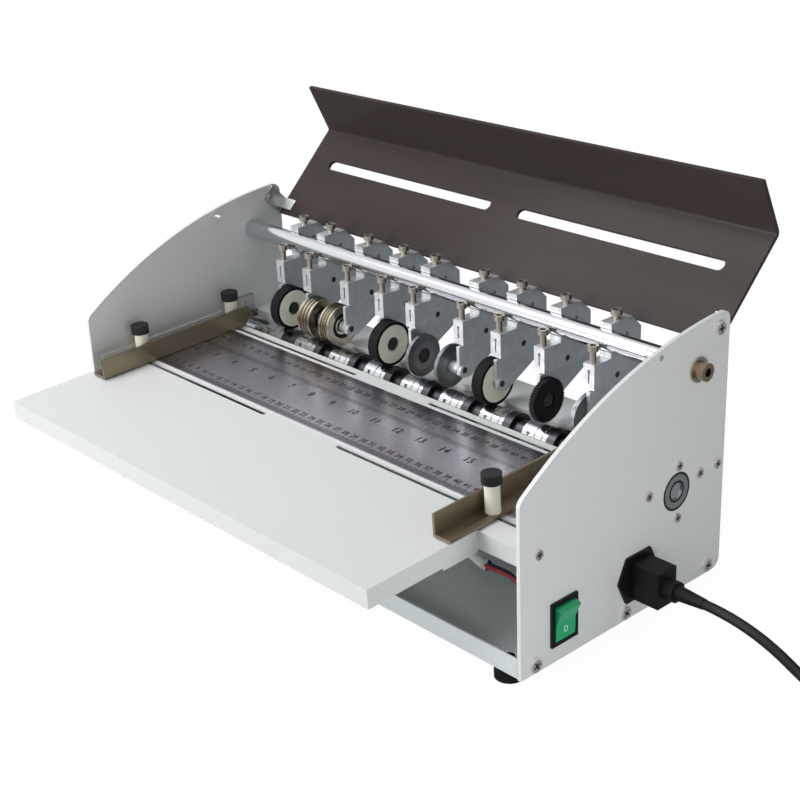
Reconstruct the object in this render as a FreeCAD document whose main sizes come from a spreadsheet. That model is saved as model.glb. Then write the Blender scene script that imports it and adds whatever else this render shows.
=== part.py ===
"""Desktop paper creasing machine: two side plates carry a rod with nine spring-loaded tool arms over a
driven shaft of rings; a sloping feed table with sliding guides stands before them, a smoked lid above.

Frame: X runs along the shafts (0 midway between the side plates), +Y points to the back, +Z up from the
surface that the rubber feet stand on. Heights of the machine's own sizes count from the plates' bottom
edges, depths from the plates' front edges. Millimetres and degrees.
"""
import FreeCAD, Part
import Sketcher
import math
import os
import re

doc = FreeCAD.newDocument("PaperCreaser")
sheet = doc.addObject("Spreadsheet::Sheet", "Sizes")

SIZES = {
    "plate_gap": (489, "clear width between the side plates"),
    "plate_thick": (3, "side plate thickness"),
    "plate_deep": (210, "side plate, front to back"),
    "plate_front_high": (129.3, "side plate height at its front edge"),
    "plate_back_high": (200.4, "side plate height at its back edge"),
    "plate_arc": (367.9, "radius of the plates' curved top"),
    "plate_corner": (8, "rounding of the plates' corners"),
    "mid_to_front": (97.14, "from the frame's origin forward to the plates' front edges"),
    "foot_high": (12, "rubber foot height"),
    "foot_radius": (10.5, "rubber foot radius"),
    "foot_side": (20.5, "foot centre from the side plates"),
    "foot_inset": (13.7, "foot centre from the plates' front or back edge"),
    "foot_screw_radius": (2, "foot screw radius"),
    "sheet_thick": (1.5, "sheet metal of tables, tray, pan and arms"),
    "seam": (0.3, "play between neighbouring sheet parts"),
    "run_gap": (0.05, "radial play of a shaft in its bore"),
    "pan_lip": (14.5, "height of the base pan's lips"),
    "table_high": (80.9, "feed surface height at the plates' front edges"),
    "table_slope": (2.3, "slope of the feed surface, rising to the back"),
    "flange_deep": (14.5, "depth of the bent-down flanges"),
    "flange_step": (2.2, "extra depth of the back part of the tray's right flange"),
    "step_from": (11, "that deeper part's start before the plates' front edges"),
    "pan_inset": (1, "base pan's lips behind and before the plates' edges"),
    "pan_lip_gap": (1.2, "base pan's front and back lips from the side plates"),
    "tray_reach": (77, "how far the tray stands out before the plates"),
    "tray_short": (56, "from the tray's right end to the right plate"),
    "table_front": (21.5, "feed table's front bend behind the plates' front edges"),
    "table_back": (144.3, "feed table's back edge"),
    "upstand_high": (12, "height of the table's bent-up ends"),
    "upstand_front": (9, "front end of the bent-up ends"),
    "upstand_back": (135, "back end of the bent-up ends"),
    "slot_wide": (4.5, "width of the guide slots"),
    "front_slot": (42, "front guide slots' centre line"),
    "back_slot": (137, "back guide slots' centre line"),
    "left_slot_near": (3.5, "left slots' outer end from the left plate"),
    "left_slot_far": (180, "left slots' inner end from the left plate"),
    "right_slot_near": (16, "right slots' outer end from the right plate"),
    "right_slot_far": (223, "right slots' inner end from the right plate"),
    "ruler_front": (48, "ruler plate's front edge"),
    "ruler_back": (130, "ruler plate's back edge"),
    "ruler_thick": (0.8, "ruler plate thickness"),
    "ruler_inset": (3, "ruler plate's ends from the side plates"),
    "rear_table_high": (90.5, "rear table's top surface"),
    "rear_table_front": (172.5, "rear table's front edge"),
    "rear_lip": (9, "depth of the rear table's front and end lips"),
    "guide_high": (17, "side guide height"),
    "guide_foot": (14.5, "width of the guide's foot"),
    "guide_front": (4.5, "guide's front end before the plates' front edges"),
    "guide_back": (160, "guide's pointed back end"),
    "guide_taper": (12, "length of the guide's tapered end"),
    "guide_foot_back": (142.3, "back end of the guide's foot"),
    "left_guide_in": (21, "left guide's blade from the left plate"),
    "right_guide_in": (71, "right guide's blade from the right plate"),
    "guide_thick": (2, "side guide sheet"),
    "guide_room": (2.2, "guide's back end from the shaft's rings"),
    "guide_slit": (2.4, "width of the narrow slot before each knob in a guide's foot"),
    "guide_slit_long": (26, "length of that slot"),
    "guide_knob_in": (8, "knob axis from the guide's blade"),
    "knob_radius": (7.4, "guide knob cap radius"),
    "knob_cap": (7.3, "guide knob cap height"),
    "sleeve_radius": (5.5, "knob sleeve radius"),
    "sleeve_high": (22.3, "knob sleeve height"),
    "flute_radius": (0.9, "flutes of the knob cap"),
    "flute_count": (20, "number of flutes"),
    "stem_radius": (1.9, "threaded stem radius"),
    "nut_wide": (8, "clamp nut width"),
    "nut_high": (3, "clamp nut thickness"),
    "rod_deep": (176, "arm rod axis behind the plates' front edges"),
    "rod_high": (165.4, "arm rod axis height"),
    "rod_radius": (8, "arm rod radius"),
    "rod_bolt_radius": (4, "rod end bolt radius"),
    "rod_bolt_deep": (22, "rod end bolt's reach into the rod"),
    "washer_radius": (9, "rod end washer radius"),
    "washer_thick": (1.6, "rod end washer thickness"),
    "cap_screw_radius": (6.5, "socket head radius"),
    "cap_screw_high": (7, "socket head height"),
    "socket_radius": (3.3, "hexagon socket, centre to corner"),
    "socket_deep": (4, "hexagon socket depth"),
    "shaft_deep": (157.3, "drive shaft axis behind the plates' front edges"),
    "shaft_high": (80, "drive shaft axis height"),
    "shaft_radius": (6, "drive shaft radius"),
    "bearing_radius": (14.25, "bearing housing's round end, flush in the plate"),
    "bearing_ear": (20, "bearing screws above and below the shaft"),
    "bearing_wide": (25, "bearing flange width"),
    "bearing_flange": (4, "bearing flange thickness inside the plate"),
    "ring_count": (11, "ring sets that would fill the width"),
    "collar_radius": (12.6, "bright collar radius"),
    "disc_radius": (13.6, "dark disc radius"),
    "spacer_radius": (9.5, "dark spacer radius"),
    "groove_wide": (1.2, "width of the grooves in a bright collar"),
    "groove_deep": (0.7, "depth of those grooves"),
    "set_screw_radius": (1.6, "set screw hole in a bright collar"),
    "pulley_radius": (9.5, "shaft pulley radius"),
    "pulley_wide": (9, "pulley width"),
    "motor_pulley_radius": (8, "motor pulley radius"),
    "belt_thick": (1.6, "drive belt thickness"),
    "belt_gap": (0.3, "play of the belt on its pulleys"),
    "belt_in": (9, "belt and pulleys from the left plate"),
    "motor_deep": (114, "motor axis behind the plates' front edges"),
    "motor_high": (40, "motor axis height"),
    "motor_radius": (26, "motor can radius"),
    "motor_long": (70, "motor can length"),
    "gearbox_wide": (58, "gearbox width and height"),
    "gearbox_long": (34, "gearbox length"),
    "motor_shaft_radius": (4, "motor output shaft radius"),
    "motor_foot": (3, "motor bracket thickness"),
    "holder_wide": (10.4, "arm holder width"),
    "holder_front": (159.2, "arm holder's front face"),
    "holder_back": (210.2, "arm holder's back edge"),
    "holder_low": (132.2, "arm holder's bottom edge"),
    "holder_step": (151.8, "top of the holder's front block"),
    "holder_top": (178.2, "top of the holder's rear block"),
    "holder_rear_front": (177.3, "front edge of the holder's rear block"),
    "holder_chamfer": (10, "chamfer of the holder's top back corner"),
    "rod_play": (0.3, "play of the holder's notch round the rod"),
    "press_screw": (12.5, "pressure screw axis before the rod's axis"),
    "lock_screw": (188.8, "lock screw axis"),
    "arm_screw_radius": (2.5, "arm screw thread radius"),
    "press_head": (165.1, "top of the pressure screw's head"),
    "lock_head": (185.2, "top of the lock screw's head"),
    "arm_head_radius": (4.2, "arm screw head radius"),
    "arm_head_high": (4, "arm screw head height"),
    "lock_tip": (168.3, "lower end of the lock screw"),
    "pivot_deep": (184.6, "lever pivot behind the plates' front edges"),
    "pivot_high": (137.5, "lever pivot height"),
    "pivot_radius": (2, "lever pivot pin radius"),
    "lever_thick": (2.9, "lever plate thickness"),
    "lever_side": (0.6, "lever's left face from the arm's centre plane"),
    "lever_front": (156.2, "lever's front edge"),
    "lever_shoulder": (131.2, "top of the lever's front edge"),
    "lever_nose": (107.8, "bottom of the lever's front edge"),
    "lever_tip": (104.2, "lever's lowest edge"),
    "lever_toe": (168.5, "back end of the lever's lowest edge"),
    "lever_heel": (213, "lever's back edge"),
    "lever_heel_low": (127.8, "bottom of the lever's back edge"),
    "lever_crown": (141.8, "lever's top edge"),
    "lever_heel_rise": (4, "height of the lever's back edge"),
    "lever_heel_run": (10, "length of the slope up to its top edge"),
    "wheel_deep": (160.6, "wheel axle behind the plates' front edges"),
    "wheel_high": (111.4, "wheel axle height"),
    "axle_radius": (3, "wheel axle radius"),
    "tyre_radius": (18.6, "rubber wheel radius"),
    "hub_radius": (16.2, "rubber wheel's hub radius"),
    "tool_radius": (17.5, "tool wheel radius"),
    "well_radius": (6, "recess round a wheel's axle"),
    "well_deep": (2.5, "depth of that recess"),
    "wheel_play": (0.3, "wheel's face from the lever"),
    "tooth_deep": (1.2, "depth of the toothed wheel's notches"),
    "tooth_count": (48, "teeth of the toothed wheel"),
    "lid_side_gap": (3, "lid's ends from the side plates"),
    "lid_thick": (3, "lid sheet thickness"),
    "lid_foot_deep": (205.1, "lid's lower edge, open, behind the plates' front edges"),
    "lid_foot_high": (174.4, "lid's lower edge, open, height"),
    "lid_panel": (89.4, "lid's main panel length"),
    "lid_lean": (44.6, "open panel's slope from level"),
    "lid_flap": (46.4, "lid's bent flap length"),
    "flap_lean": (116, "open flap's slope from level"),
    "lid_slot_up": (56.5, "lid slots' centre line up the panel"),
    "lid_slot_high": (9.2, "lid slot width"),
    "lid_slot_side": (29.3, "slots' outer ends from the side plates"),
    "lid_slot_long": (200, "lid slot length"),
    "lid_pivot_deep": (197.5, "lid pivot behind the plates' front edges"),
    "lid_pivot_high": (189.5, "lid pivot height"),
    "lid_pivot_radius": (3, "lid pivot screw radius"),
    "bracket_thick": (1.5, "lid bracket thickness"),
    "bracket_wide": (16.5, "lid bracket width"),
    "bracket_foot": (10, "lid bracket's foot along the panel"),
    "stop_deep": (136.4, "lid stop pin behind the plates' front edges"),
    "stop_high": (185.7, "lid stop pin height"),
    "stop_radius": (2.5, "lid stop pin radius"),
    "stop_long": (10, "lid stop pin's reach inside the plate"),
    "stop_tail": (1.8, "radius of the stop pin's riveted tail in the plate"),
    "table_screw_radius": (2, "table and bearing screw thread radius"),
    "table_screw_head": (3.6, "their heads' radius"),
    "table_screw_high": (2.2, "their heads' height"),
    "pan_screw_radius": (2.5, "bottom screw thread radius"),
    "pan_screw_head": (4.8, "bottom screw head radius"),
    "pan_screw_high": (2.8, "bottom screw head height"),
    "screw_reach": (5.5, "screw length under the head"),
    "screw_play": (0.2, "screw hole's radial play"),
    "switch_deep": (40.7, "rocker switch centre behind the plates' front edges"),
    "switch_high": (29.5, "rocker switch centre height"),
    "switch_wide": (25.5, "switch bezel width"),
    "switch_tall": (33, "switch bezel height"),
    "bezel_thick": (2, "switch bezel thickness"),
    "bezel_rim": (3, "width of the bezel's rim"),
    "switch_body": (24, "switch body's depth inside the plate"),
    "rocker_play": (0.4, "play round the rocker"),
    "rocker_radius": (30, "radius of the rocker's hollow faces"),
    "rocker_proud": (5.5, "rocker's raised end before the bezel"),
    "rocker_deep": (3, "rocker's depth behind the bezel's face"),
    "inlet_deep": (116, "power inlet centre behind the plates' front edges"),
    "inlet_high": (31.5, "power inlet centre height"),
    "inlet_wide": (42, "inlet flange width"),
    "inlet_tall": (35, "inlet flange height"),
    "inlet_top": (25, "length of the flange's level edges"),
    "inlet_flange": (2, "inlet flange thickness"),
    "inlet_screw": (13.8, "inlet screws from the centre"),
    "inlet_screw_radius": (1.5, "inlet screw thread radius"),
    "inlet_screw_head": (2.6, "inlet screw head radius"),
    "inlet_screw_high": (1.2, "inlet screw head height"),
    "inlet_body_wide": (20, "inlet body width"),
    "inlet_body_tall": (28, "inlet body height"),
    "inlet_body_long": (24, "inlet body's depth inside the plate"),
    "socket_wall": (2, "wall round the inlet's socket"),
    "socket_floor": (4, "floor behind the inlet's socket"),
    "plug_play": (0.3, "play of the connector in the inlet"),
    "grip_long": (24, "connector body length outside the inlet"),
    "grip_wide": (19, "connector body width"),
    "grip_tall": (27, "connector body height"),
    "neck_radius": (7.5, "connector neck radius"),
    "neck_long": (9, "connector neck length"),
    "relief_radius": (5.2, "strain relief radius"),
    "relief_long": (22, "strain relief length"),
    "cord_radius": (3.5, "mains lead radius"),
    "table_screw_front": (16, "front screws of the feed table's bent-up ends"),
    "table_screw_back": (125, "back screws of the feed table's bent-up ends"),
    "table_screw_line": (88.2, "height of those screws"),
    "rear_screw_front": (181, "front screws of the rear table's end lips"),
    "rear_screw_back": (201, "back screws of the rear table's end lips"),
    "rear_screw_line": (86.2, "height of those screws"),
    "pan_screw_front": (12.6, "front bottom screws"),
    "pan_screw_middle": (103.1, "middle bottom screws"),
    "pan_screw_back": (194, "back bottom screws"),
    "pan_screw_line": (7.3, "height of the bottom screws"),
    "shaft_inset": (1, "shaft's ends inside the plates' outer faces"),
    "set_screw_lean": (55, "set screw holes' lean from straight up to the front"),
    "collar_share": (0.56, "a collar's part of its ring set"),
    "disc_share": (0.17, "a disc's part of its ring set"),
    "ring_end_gap": (1, "last ring from the bearing flange"),
    "pulley_rim": (1.2, "pulley rim thickness"),
    "rim_proud": (1.8, "pulley rims' height over the belt's seat"),
    "motor_gap": (8, "gearbox from the pulley"),
    "boss_long": (3, "gearbox's output boss length"),
    "slit_wide": (1.2, "slit in the holder's front face"),
    "slit_long": (9, "length of that slit"),
    "keyhole_radius": (1.3, "round end of that slit"),
    "keyhole_drop": (4.5, "round end below the front block's top"),
    "pin_deep": (193.8, "round hole of the holder's rear block, behind the plates' front edges"),
    "pin_high": (166, "round hole of the holder's rear block, height"),
    "pin_radius": (2, "round hole of the holder's rear block, radius"),
    "axle_head_radius": (5, "wheel axle head radius"),
    "axle_head_high": (1.6, "wheel axle head thickness"),
    "blade_thick": (3, "cutting edge of a disc wheel"),
    "blade_hub_radius": (11, "boss of a disc wheel"),
    "rib_radius": (15.6, "floor of the creasing wheels' grooves"),
    "rib_wide": (2.4, "groove width of the creasing wheels"),
    "bearing_ring_radius": (11, "ball bearing's outer radius in a creasing wheel"),
    "bracket_round": (5, "lid bracket's edge from its pivot"),
    "bracket_lift": (4, "lid bracket's far edge past that"),
    "boss_radius": (10, "gearbox's output boss radius"),
    "plug_round": (5, "rounding of the mains plug's body"),
    "bracket_gap": (0.5, "lid bracket from the side plate"),
    "switch_wall": (2, "switch body inside the bezel's rim"),
    "fold_round": (2.5, "inner rounding of the lid's fold"),
    "tooth_radius": (1.1, "radius of the toothed wheel's notches"),
    "face_recess": (0.8, "recess round a creasing wheel's bearing"),
    "wheel_wide_1": (10, "first wheel's width"),
    "wheel_wide_2": (15, "second wheel's width"),
    "wheel_wide_3": (12, "third wheel's width"),
    "wheel_wide_4": (10, "fourth wheel's width"),
    "wheel_wide_5": (9.5, "fifth wheel's width"),
    "wheel_wide_6": (8, "sixth wheel's width"),
    "wheel_wide_7": (9.7, "seventh wheel's width"),
    "wheel_wide_8": (4.6, "eighth wheel's width"),
    "wheel_wide_9": (9, "ninth wheel's width"),
    "spacer_long_3": (6, "spacer between the third lever and its wheel"),
    "spacer_long_6": (9, "spacer between the sixth lever and its wheel"),
    "axle_spacer_radius": (5, "radius of those spacers"),
    "pivot_nut_high": (1.2, "lid pivot's inner nut"),
    "pivot_nut_radius": (2.8, "lid pivot's inner nut radius"),
    "socket_long": (18, "connector's reach into the inlet"),
    "cord_pitch": (8.4, "coil's step from turn to turn"),
    "coil_radius": (45, "coil's outermost half turn"),
    "plug_wide": (38, "mains plug width"),
    "plug_deep": (26, "mains plug depth"),
    "plug_long": (42, "mains plug length"),
    "pin_long": (18, "mains plug pin length"),
    "mains_pin_radius": (2.4, "mains plug pin radius"),
    "mains_pin_half": (9.5, "mains plug pins from the middle"),
    "wire_radius": (1.1, "wire radius"),
    "wire_sleeve_radius": (4, "wire sleeve radius"),
    "overrun": (1, "how far a cutting tool runs past the faces that it cuts"),
}

# The tool arms, left to right: each one's place as a share of the clear width, its kind of wheel, and the
# side of the lever that the wheel runs on (1 right, -1 left).
ARM_shares = (0.1207, 0.1937, 0.2937, 0.3812, 0.4569, 0.5679, 0.6497, 0.7403, 0.8380)
WHEEL_KINDS = ("rubber", "creaser", "creaser", "rubber", "blade", "blade", "rubber", "toothed", "blade")
WHEEL_SIDES = (1, 1, -1, 1, 1, -1, -1, 1, -1)

# Where the two grooves and the set screw of a bright collar lie along it.
GROOVE_shares = (0.5, 0.8)
SET_SCREW_share = 0.25

# The raised half of the switch's rocker, outlined past its round end, stands this much higher there.
ROCKER_rise_share = 1.4

# The mains lead's corners, right of the frame's origin, behind it and above it: from the connector to the
# put-away coil beside the machine, and from the coil to the plug. Each half turn of the coil is smaller than the
# first by a number of half pitches.
LEAD_POINTS = [(305, 18.86, 43.5), (342, 18.86, 43.5), (395, 30, 3.6), (433, 30, 3.6)]
COIL_START = (440, 30, 3.6)
COIL_SHRINKS = (0, 1, 2, 3, 4, 3, 2, 1, 0, -1)
TAIL_POINTS = [(493, 82, 3.6), (493, 99, 3.6), (492.6, 125, 11.4), (492.4, 146, 13)]

# The wires in the open front bay: depth is counted from the plates' front edges, height from their bottom.
SLEEVE_POINTS = [(112, 74, 34), (150, 50, 40), (184, 34, 48)]
WIRE_POINTS = [(184, 34, 48), (206, 34, 49), (217, 38, 40), (222.4, 40.7, 29.5)]
WIRE_spreads = ((-1.2, 0.8, 8), (0, -1.3, 0), (1.2, 0.8, -8))
WIRE_rise_share = 0.33


def fill_sheet():
    """Write the driving sizes into the sheet as plain numbers with aliases."""
    for row, (alias, (value, note)) in enumerate(SIZES.items(), start=1):
        sheet.set(f"A{row}", note)
        sheet.set(f"B{row}", str(value))
        sheet.setAlias(f"B{row}", alias)
    doc.recompute()


def size(alias):
    return float(sheet.get(alias))


def tie(item, **formulas):
    """Bind properties of an object to formulas over the sheet's aliases; double underscores stand for dots."""
    for name, formula in formulas.items():
        item.setExpression(name.replace("__", "."), over_sheet(formula))


def over_sheet(formula):
    """A formula with its aliases written as cells of the sheet."""
    return re.sub(r"(?<![\w.])[a-z]\w*(?!\w*\()", r"Sizes.\g<0>", formula)


def place(item, x="0", y="0", z="0"):
    """Tie an object's place to the sheet."""
    tie(item, Placement__Base__x=x, Placement__Base__y=y, Placement__Base__z=z)


def box(x, y, z, long, deep, high):
    """A box by its low corner and its three sizes."""
    item = doc.addObject("Part::Box", "Block")
    tie(item, Length=long, Width=deep, Height=high)
    place(item, x, y, z)
    return item


TURNS = {
    "x": FreeCAD.Rotation(FreeCAD.Vector(0, 1, 0), 90),
    "y": FreeCAD.Rotation(FreeCAD.Vector(1, 0, 0), -90),
    "z": FreeCAD.Rotation(),
}


# A turn about X whose angle is tied to the sheet afterwards.
LEAN = FreeCAD.Rotation(FreeCAD.Vector(1, 0, 0), 1)


def drum(axis, x, y, z, radius, long):
    """A cylinder that starts at a point and runs along an axis."""
    item = doc.addObject("Part::Cylinder", "Round")
    item.Placement = FreeCAD.Placement(FreeCAD.Vector(), TURNS[axis])
    tie(item, Radius=radius, Height=long)
    place(item, x, y, z)
    return item


def hexagon(axis, x, y, z, radius, long):
    """A six-sided prism that starts at a point and runs along an axis."""
    item = doc.addObject("Part::Prism", "Hexagon")
    item.Polygon = 6
    item.Placement = FreeCAD.Placement(FreeCAD.Vector(), TURNS[axis])
    tie(item, Circumradius=radius, Height=long)
    place(item, x, y, z)
    return item


def fuse(*items):
    item = doc.addObject("Part::MultiFuse", "Union")
    item.Shapes = list(items)
    item.Refine = True
    return item


def gather(*items):
    """A group of separate solids."""
    item = doc.addObject("Part::Compound", "Group")
    item.Links = list(items)
    return item


def cut(base, *tools):
    item = doc.addObject("Part::Cut", "Cut")
    item.Base = base
    item.Tool = tools[0] if len(tools) == 1 else fuse(*tools)
    return item


def plane(body, role):
    return next(p for p in body.Origin.OriginFeatures if p.Role == role)


def draw(body, role, corners=(), rounds=(), arcs=None):
    """A sketch on one of a body's own planes, every corner and circle tied to the sheet.

    corners: (u, v) formulas of a closed outline; arcs: corner number -> (radius formula, bulge sign) for
    the side that starts there; rounds: (u, v, radius) formulas of circles.
    """
    sketch = body.newObject("Sketcher::SketchObject", "Outline")
    sketch.AttachmentSupport = (plane(body, role), [""])
    sketch.MapMode = "FlatFace"
    arcs = arcs or {}
    spots = [(value(u), value(v)) for u, v in corners]
    for i, (a, b) in enumerate(zip(spots, spots[1:] + spots[:1])):
        start, end = FreeCAD.Vector(*a, 0), FreeCAD.Vector(*b, 0)
        if i in arcs:
            sketch.addGeometry(arc_between(start, end, *arcs[i]))
        else:
            sketch.addGeometry(Part.LineSegment(start, end))
    count = len(spots)
    bulges = {}
    for i in range(count):
        after = (i + 1) % count
        # An arc's own ends may come out swapped, so each end is matched by its place.
        bulges[i] = ends(sketch, i, spots[i], spots[after])
    for i in range(count):
        after = (i + 1) % count
        sketch.addConstraint(Sketcher.Constraint("Coincident", i, bulges[i][1], after, bulges[after][0]))
    for i, (u, v) in enumerate(corners):
        pin_down(sketch, i, bulges[i][0], u, v)
    for i, (radius, _) in arcs.items():
        number = sketch.addConstraint(Sketcher.Constraint("Radius", i, value(radius)))
        bind(sketch, number, radius)
    for u, v, radius in rounds:
        centre = FreeCAD.Vector(value(u), value(v), 0)
        geo = sketch.addGeometry(Part.Circle(centre, FreeCAD.Vector(0, 0, 1), value(radius)))
        pin_down(sketch, geo, 3, u, v)
        number = sketch.addConstraint(Sketcher.Constraint("Radius", geo, value(radius)))
        bind(sketch, number, radius)
    return sketch


def ends(sketch, geo, first, second):
    """Which end of a sketch edge lies at its first corner, and which at its second."""
    at = sketch.getPoint(geo, 1)
    near = math.hypot(at.x - first[0], at.y - first[1])
    far = math.hypot(at.x - second[0], at.y - second[1])
    return (1, 2) if near < far else (2, 1)


def arc_between(start, end, radius, sign):
    """An arc of a given radius between two points; sign picks the side that it bulges to."""
    chord = end - start
    half = chord.Length / 2
    reach = value(radius)
    across = FreeCAD.Vector(-chord.y, chord.x, 0).normalize() * sign
    middle = (start + end) / 2 + across * (reach - math.sqrt(reach ** 2 - half ** 2))
    return Part.Arc(start, middle, end)


def pin_down(sketch, geo, end, u, v):
    for kind, formula in (("DistanceX", u), ("DistanceY", v)):
        number = sketch.addConstraint(Sketcher.Constraint(kind, -1, 1, geo, end, value(formula)))
        bind(sketch, number, formula)


def bind(sketch, number, formula):
    tie(sketch, **{f"Constraints[{number}]": formula})


def value(formula):
    """What a formula over the sheet gives at the sheet's present sizes."""
    return float(sheet.evalExpression(over_sheet(formula)))


def back(depth):
    """A depth behind the plates' front edges as a place along Y."""
    return f"{depth} - mid_to_front"


def up(height):
    """A height over the plates' bottom edges as a place along Z."""
    return f"{height} + foot_high"


def on_desk(item):
    """Lay a piece that is modelled flat on the sloping feed surface."""
    item.Placement = FreeCAD.Placement(FreeCAD.Vector(), LEAN)
    tie(item, Placement__Rotation__Angle="table_slope")
    place(item, "0", "-mid_to_front", up("table_high"))


def desk_point(depth, height):
    """Where a point given by depth and height lies along and over the sloping feed surface."""
    along = f"({depth})*cos(table_slope) + ({height} - table_high)*sin(table_slope)"
    over = f"({height} - table_high)*cos(table_slope) - ({depth})*sin(table_slope)"
    return along, over


PARTS = {}


def keep(name, item):
    """Name a finished sub-part; its name is its file's name."""
    item.Label = name
    PARTS[name] = item


LEFT = "-plate_gap/2"
RIGHT = "plate_gap/2"
HOLE = "screw_play"


def plate_screw_spots():
    """Depth and height of the small screws that hold tables and bearings to each side plate."""
    return [("table_screw_front", "table_screw_line"), ("table_screw_back", "table_screw_line"),
            ("rear_screw_front", "rear_screw_line"), ("rear_screw_back", "rear_screw_line"),
            ("shaft_deep", "shaft_high + bearing_ear"), ("shaft_deep", "shaft_high - bearing_ear")]


def pan_screw_spots():
    """Depth and height of the larger screws along each side plate's bottom edge."""
    return [("pan_screw_front", "pan_screw_line"), ("pan_screw_middle", "pan_screw_line"),
            ("pan_screw_back", "pan_screw_line")]


def side_plate(name, left_face, cutouts):
    """One painted side plate with its curved top and all its holes."""
    body = doc.addObject("PartDesign::Body", "Plate")
    outline = draw(body, "YZ_Plane",
                   [("0", "0"), ("plate_deep", "0"), ("plate_deep", "plate_back_high"), ("0", "plate_front_high")],
                   arcs={2: ("plate_arc", -1)})
    pad = body.newObject("PartDesign::Pad", "Sheet")
    pad.Profile = outline
    tie(pad, Length="plate_thick")
    doc.recompute()
    corners = [(size("plate_deep"), 0), (size("plate_deep"), size("plate_back_high")), (0, size("plate_front_high"))]
    rounding = body.newObject("PartDesign::Fillet", "Corners")
    rounding.Base = (pad, [edge_along_x(pad.Shape, *corner) for corner in corners])
    tie(rounding, Radius="plate_corner")
    rounds = [(y, z, f"table_screw_radius + {HOLE}") for y, z in plate_screw_spots()]
    rounds += [(y, z, f"pan_screw_radius + {HOLE}") for y, z in pan_screw_spots()]
    rounds += [("rod_deep", "rod_high", f"rod_bolt_radius + {HOLE}"), ("shaft_deep", "shaft_high", f"bearing_radius + {HOLE}"),
               ("lid_pivot_deep", "lid_pivot_high", f"lid_pivot_radius + {HOLE}"),
               ("stop_deep", "stop_high", f"stop_tail + {HOLE}")]
    holes = body.newObject("PartDesign::Pocket", "Holes")
    holes.Profile = draw(body, "YZ_Plane", rounds=rounds)
    holes.Type = 1
    holes.Midplane = True
    place(body, left_face, back("0"), up("0"))
    shape = cut(body, *cutouts) if cutouts else body
    keep(name, shape)


def edge_along_x(shape, y, z):
    """The name of the straight edge along X nearest to a point of the outline."""
    best = None
    for number, edge in enumerate(shape.Edges, start=1):
        first, last = edge.Vertexes[0].Point, edge.Vertexes[-1].Point
        if abs(first.y - last.y) + abs(first.z - last.z) < 1e-6:
            off = math.hypot(first.y - y, first.z - z)
            if best is None or off < best[0]:
                best = (off, f"Edge{number}")
    return best[1]


def obround(x, y, z, long, wide, high):
    """A slot-shaped block lying along X, its ends round, by its low corner."""
    middle = box(f"{x} + ({wide})/2", y, z, f"{long} - {wide}", wide, high)
    ends_ = [drum("z", f"{x} + {part}", f"{y} + ({wide})/2", z, f"({wide})/2", high)
             for part in (f"({wide})/2", f"{long} - ({wide})/2")]
    return fuse(middle, *ends_)


def side_plates():
    over = "overrun"
    switch_hole = box(f"{RIGHT} - {over}", back("switch_deep - switch_wide/2 + bezel_rim/2"),
                      up("switch_high - switch_tall/2 + bezel_rim/2"), f"plate_thick + 2*{over}",
                      "switch_wide - bezel_rim", "switch_tall - bezel_rim")
    inlet_hole = box(f"{RIGHT} - {over}", back("inlet_deep - inlet_body_wide/2 - screw_play"),
                     up("inlet_high - inlet_body_tall/2 - screw_play"), f"plate_thick + 2*{over}",
                     "inlet_body_wide + 2*screw_play", "inlet_body_tall + 2*screw_play")
    ear_holes = [drum("x", f"{RIGHT} - {over}", back(f"inlet_deep {sign} inlet_screw"), up("inlet_high"),
                      f"inlet_screw_radius + {HOLE}", f"plate_thick + 2*{over}") for sign in "+-"]
    side_plate("left_side_plate", f"{LEFT} - plate_thick", [])
    side_plate("right_side_plate", RIGHT, [switch_hole, inlet_hole, *ear_holes])


def base_pan():
    """The base: a floor with four lips, the end lips screwed to the side plates."""
    t = "sheet_thick"
    deep = "plate_deep - 2*pan_inset"
    floor = box(LEFT, back("pan_inset"), up("0"), "plate_gap", deep, t)
    lips = [box(f"{LEFT} + pan_lip_gap", back(y), up("0"), "plate_gap - 2*pan_lip_gap", t, "pan_lip")
            for y in ("pan_inset", f"plate_deep - pan_inset - {t}")]
    ends_ = [box(x, back(f"pan_inset + {t} + seam"), up("0"), t, f"{deep} - 2*{t} - 2*seam", "pan_lip")
             for x in (LEFT, f"{RIGHT} - {t}")]
    holes = [drum("x", f"{LEFT} - overrun", back(y), up(z), f"pan_screw_radius + {HOLE}", "plate_gap + 2*overrun")
             for y, z in pan_screw_spots()]
    foot_holes = [drum("z", x, y, "foot_high - overrun", f"foot_screw_radius + {HOLE}", f"{t} + 2*overrun")
                  for x, y in foot_spots()]
    keep("base_pan", cut(fuse(floor, *lips, *ends_), *holes, *foot_holes))


def foot_spots():
    return [(x, back(y)) for x in (f"{LEFT} + foot_side", f"{RIGHT} - foot_side")
            for y in ("foot_inset", "plate_deep - foot_inset")]


def rubber_feet():
    """Four rubber feet, each with its screw up through the floor of the pan."""
    feet = []
    for x, y in foot_spots():
        feet.append(drum("z", x, y, "0", "foot_radius", "foot_high"))
        screw = drum("z", x, y, "foot_high", "foot_screw_radius", "sheet_thick")
        nut = drum("z", x, y, "foot_high + sheet_thick", "2*foot_screw_radius", "foot_screw_radius")
        feet.append(fuse(screw, nut))
    keep("rubber_feet", gather(*feet))


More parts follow.
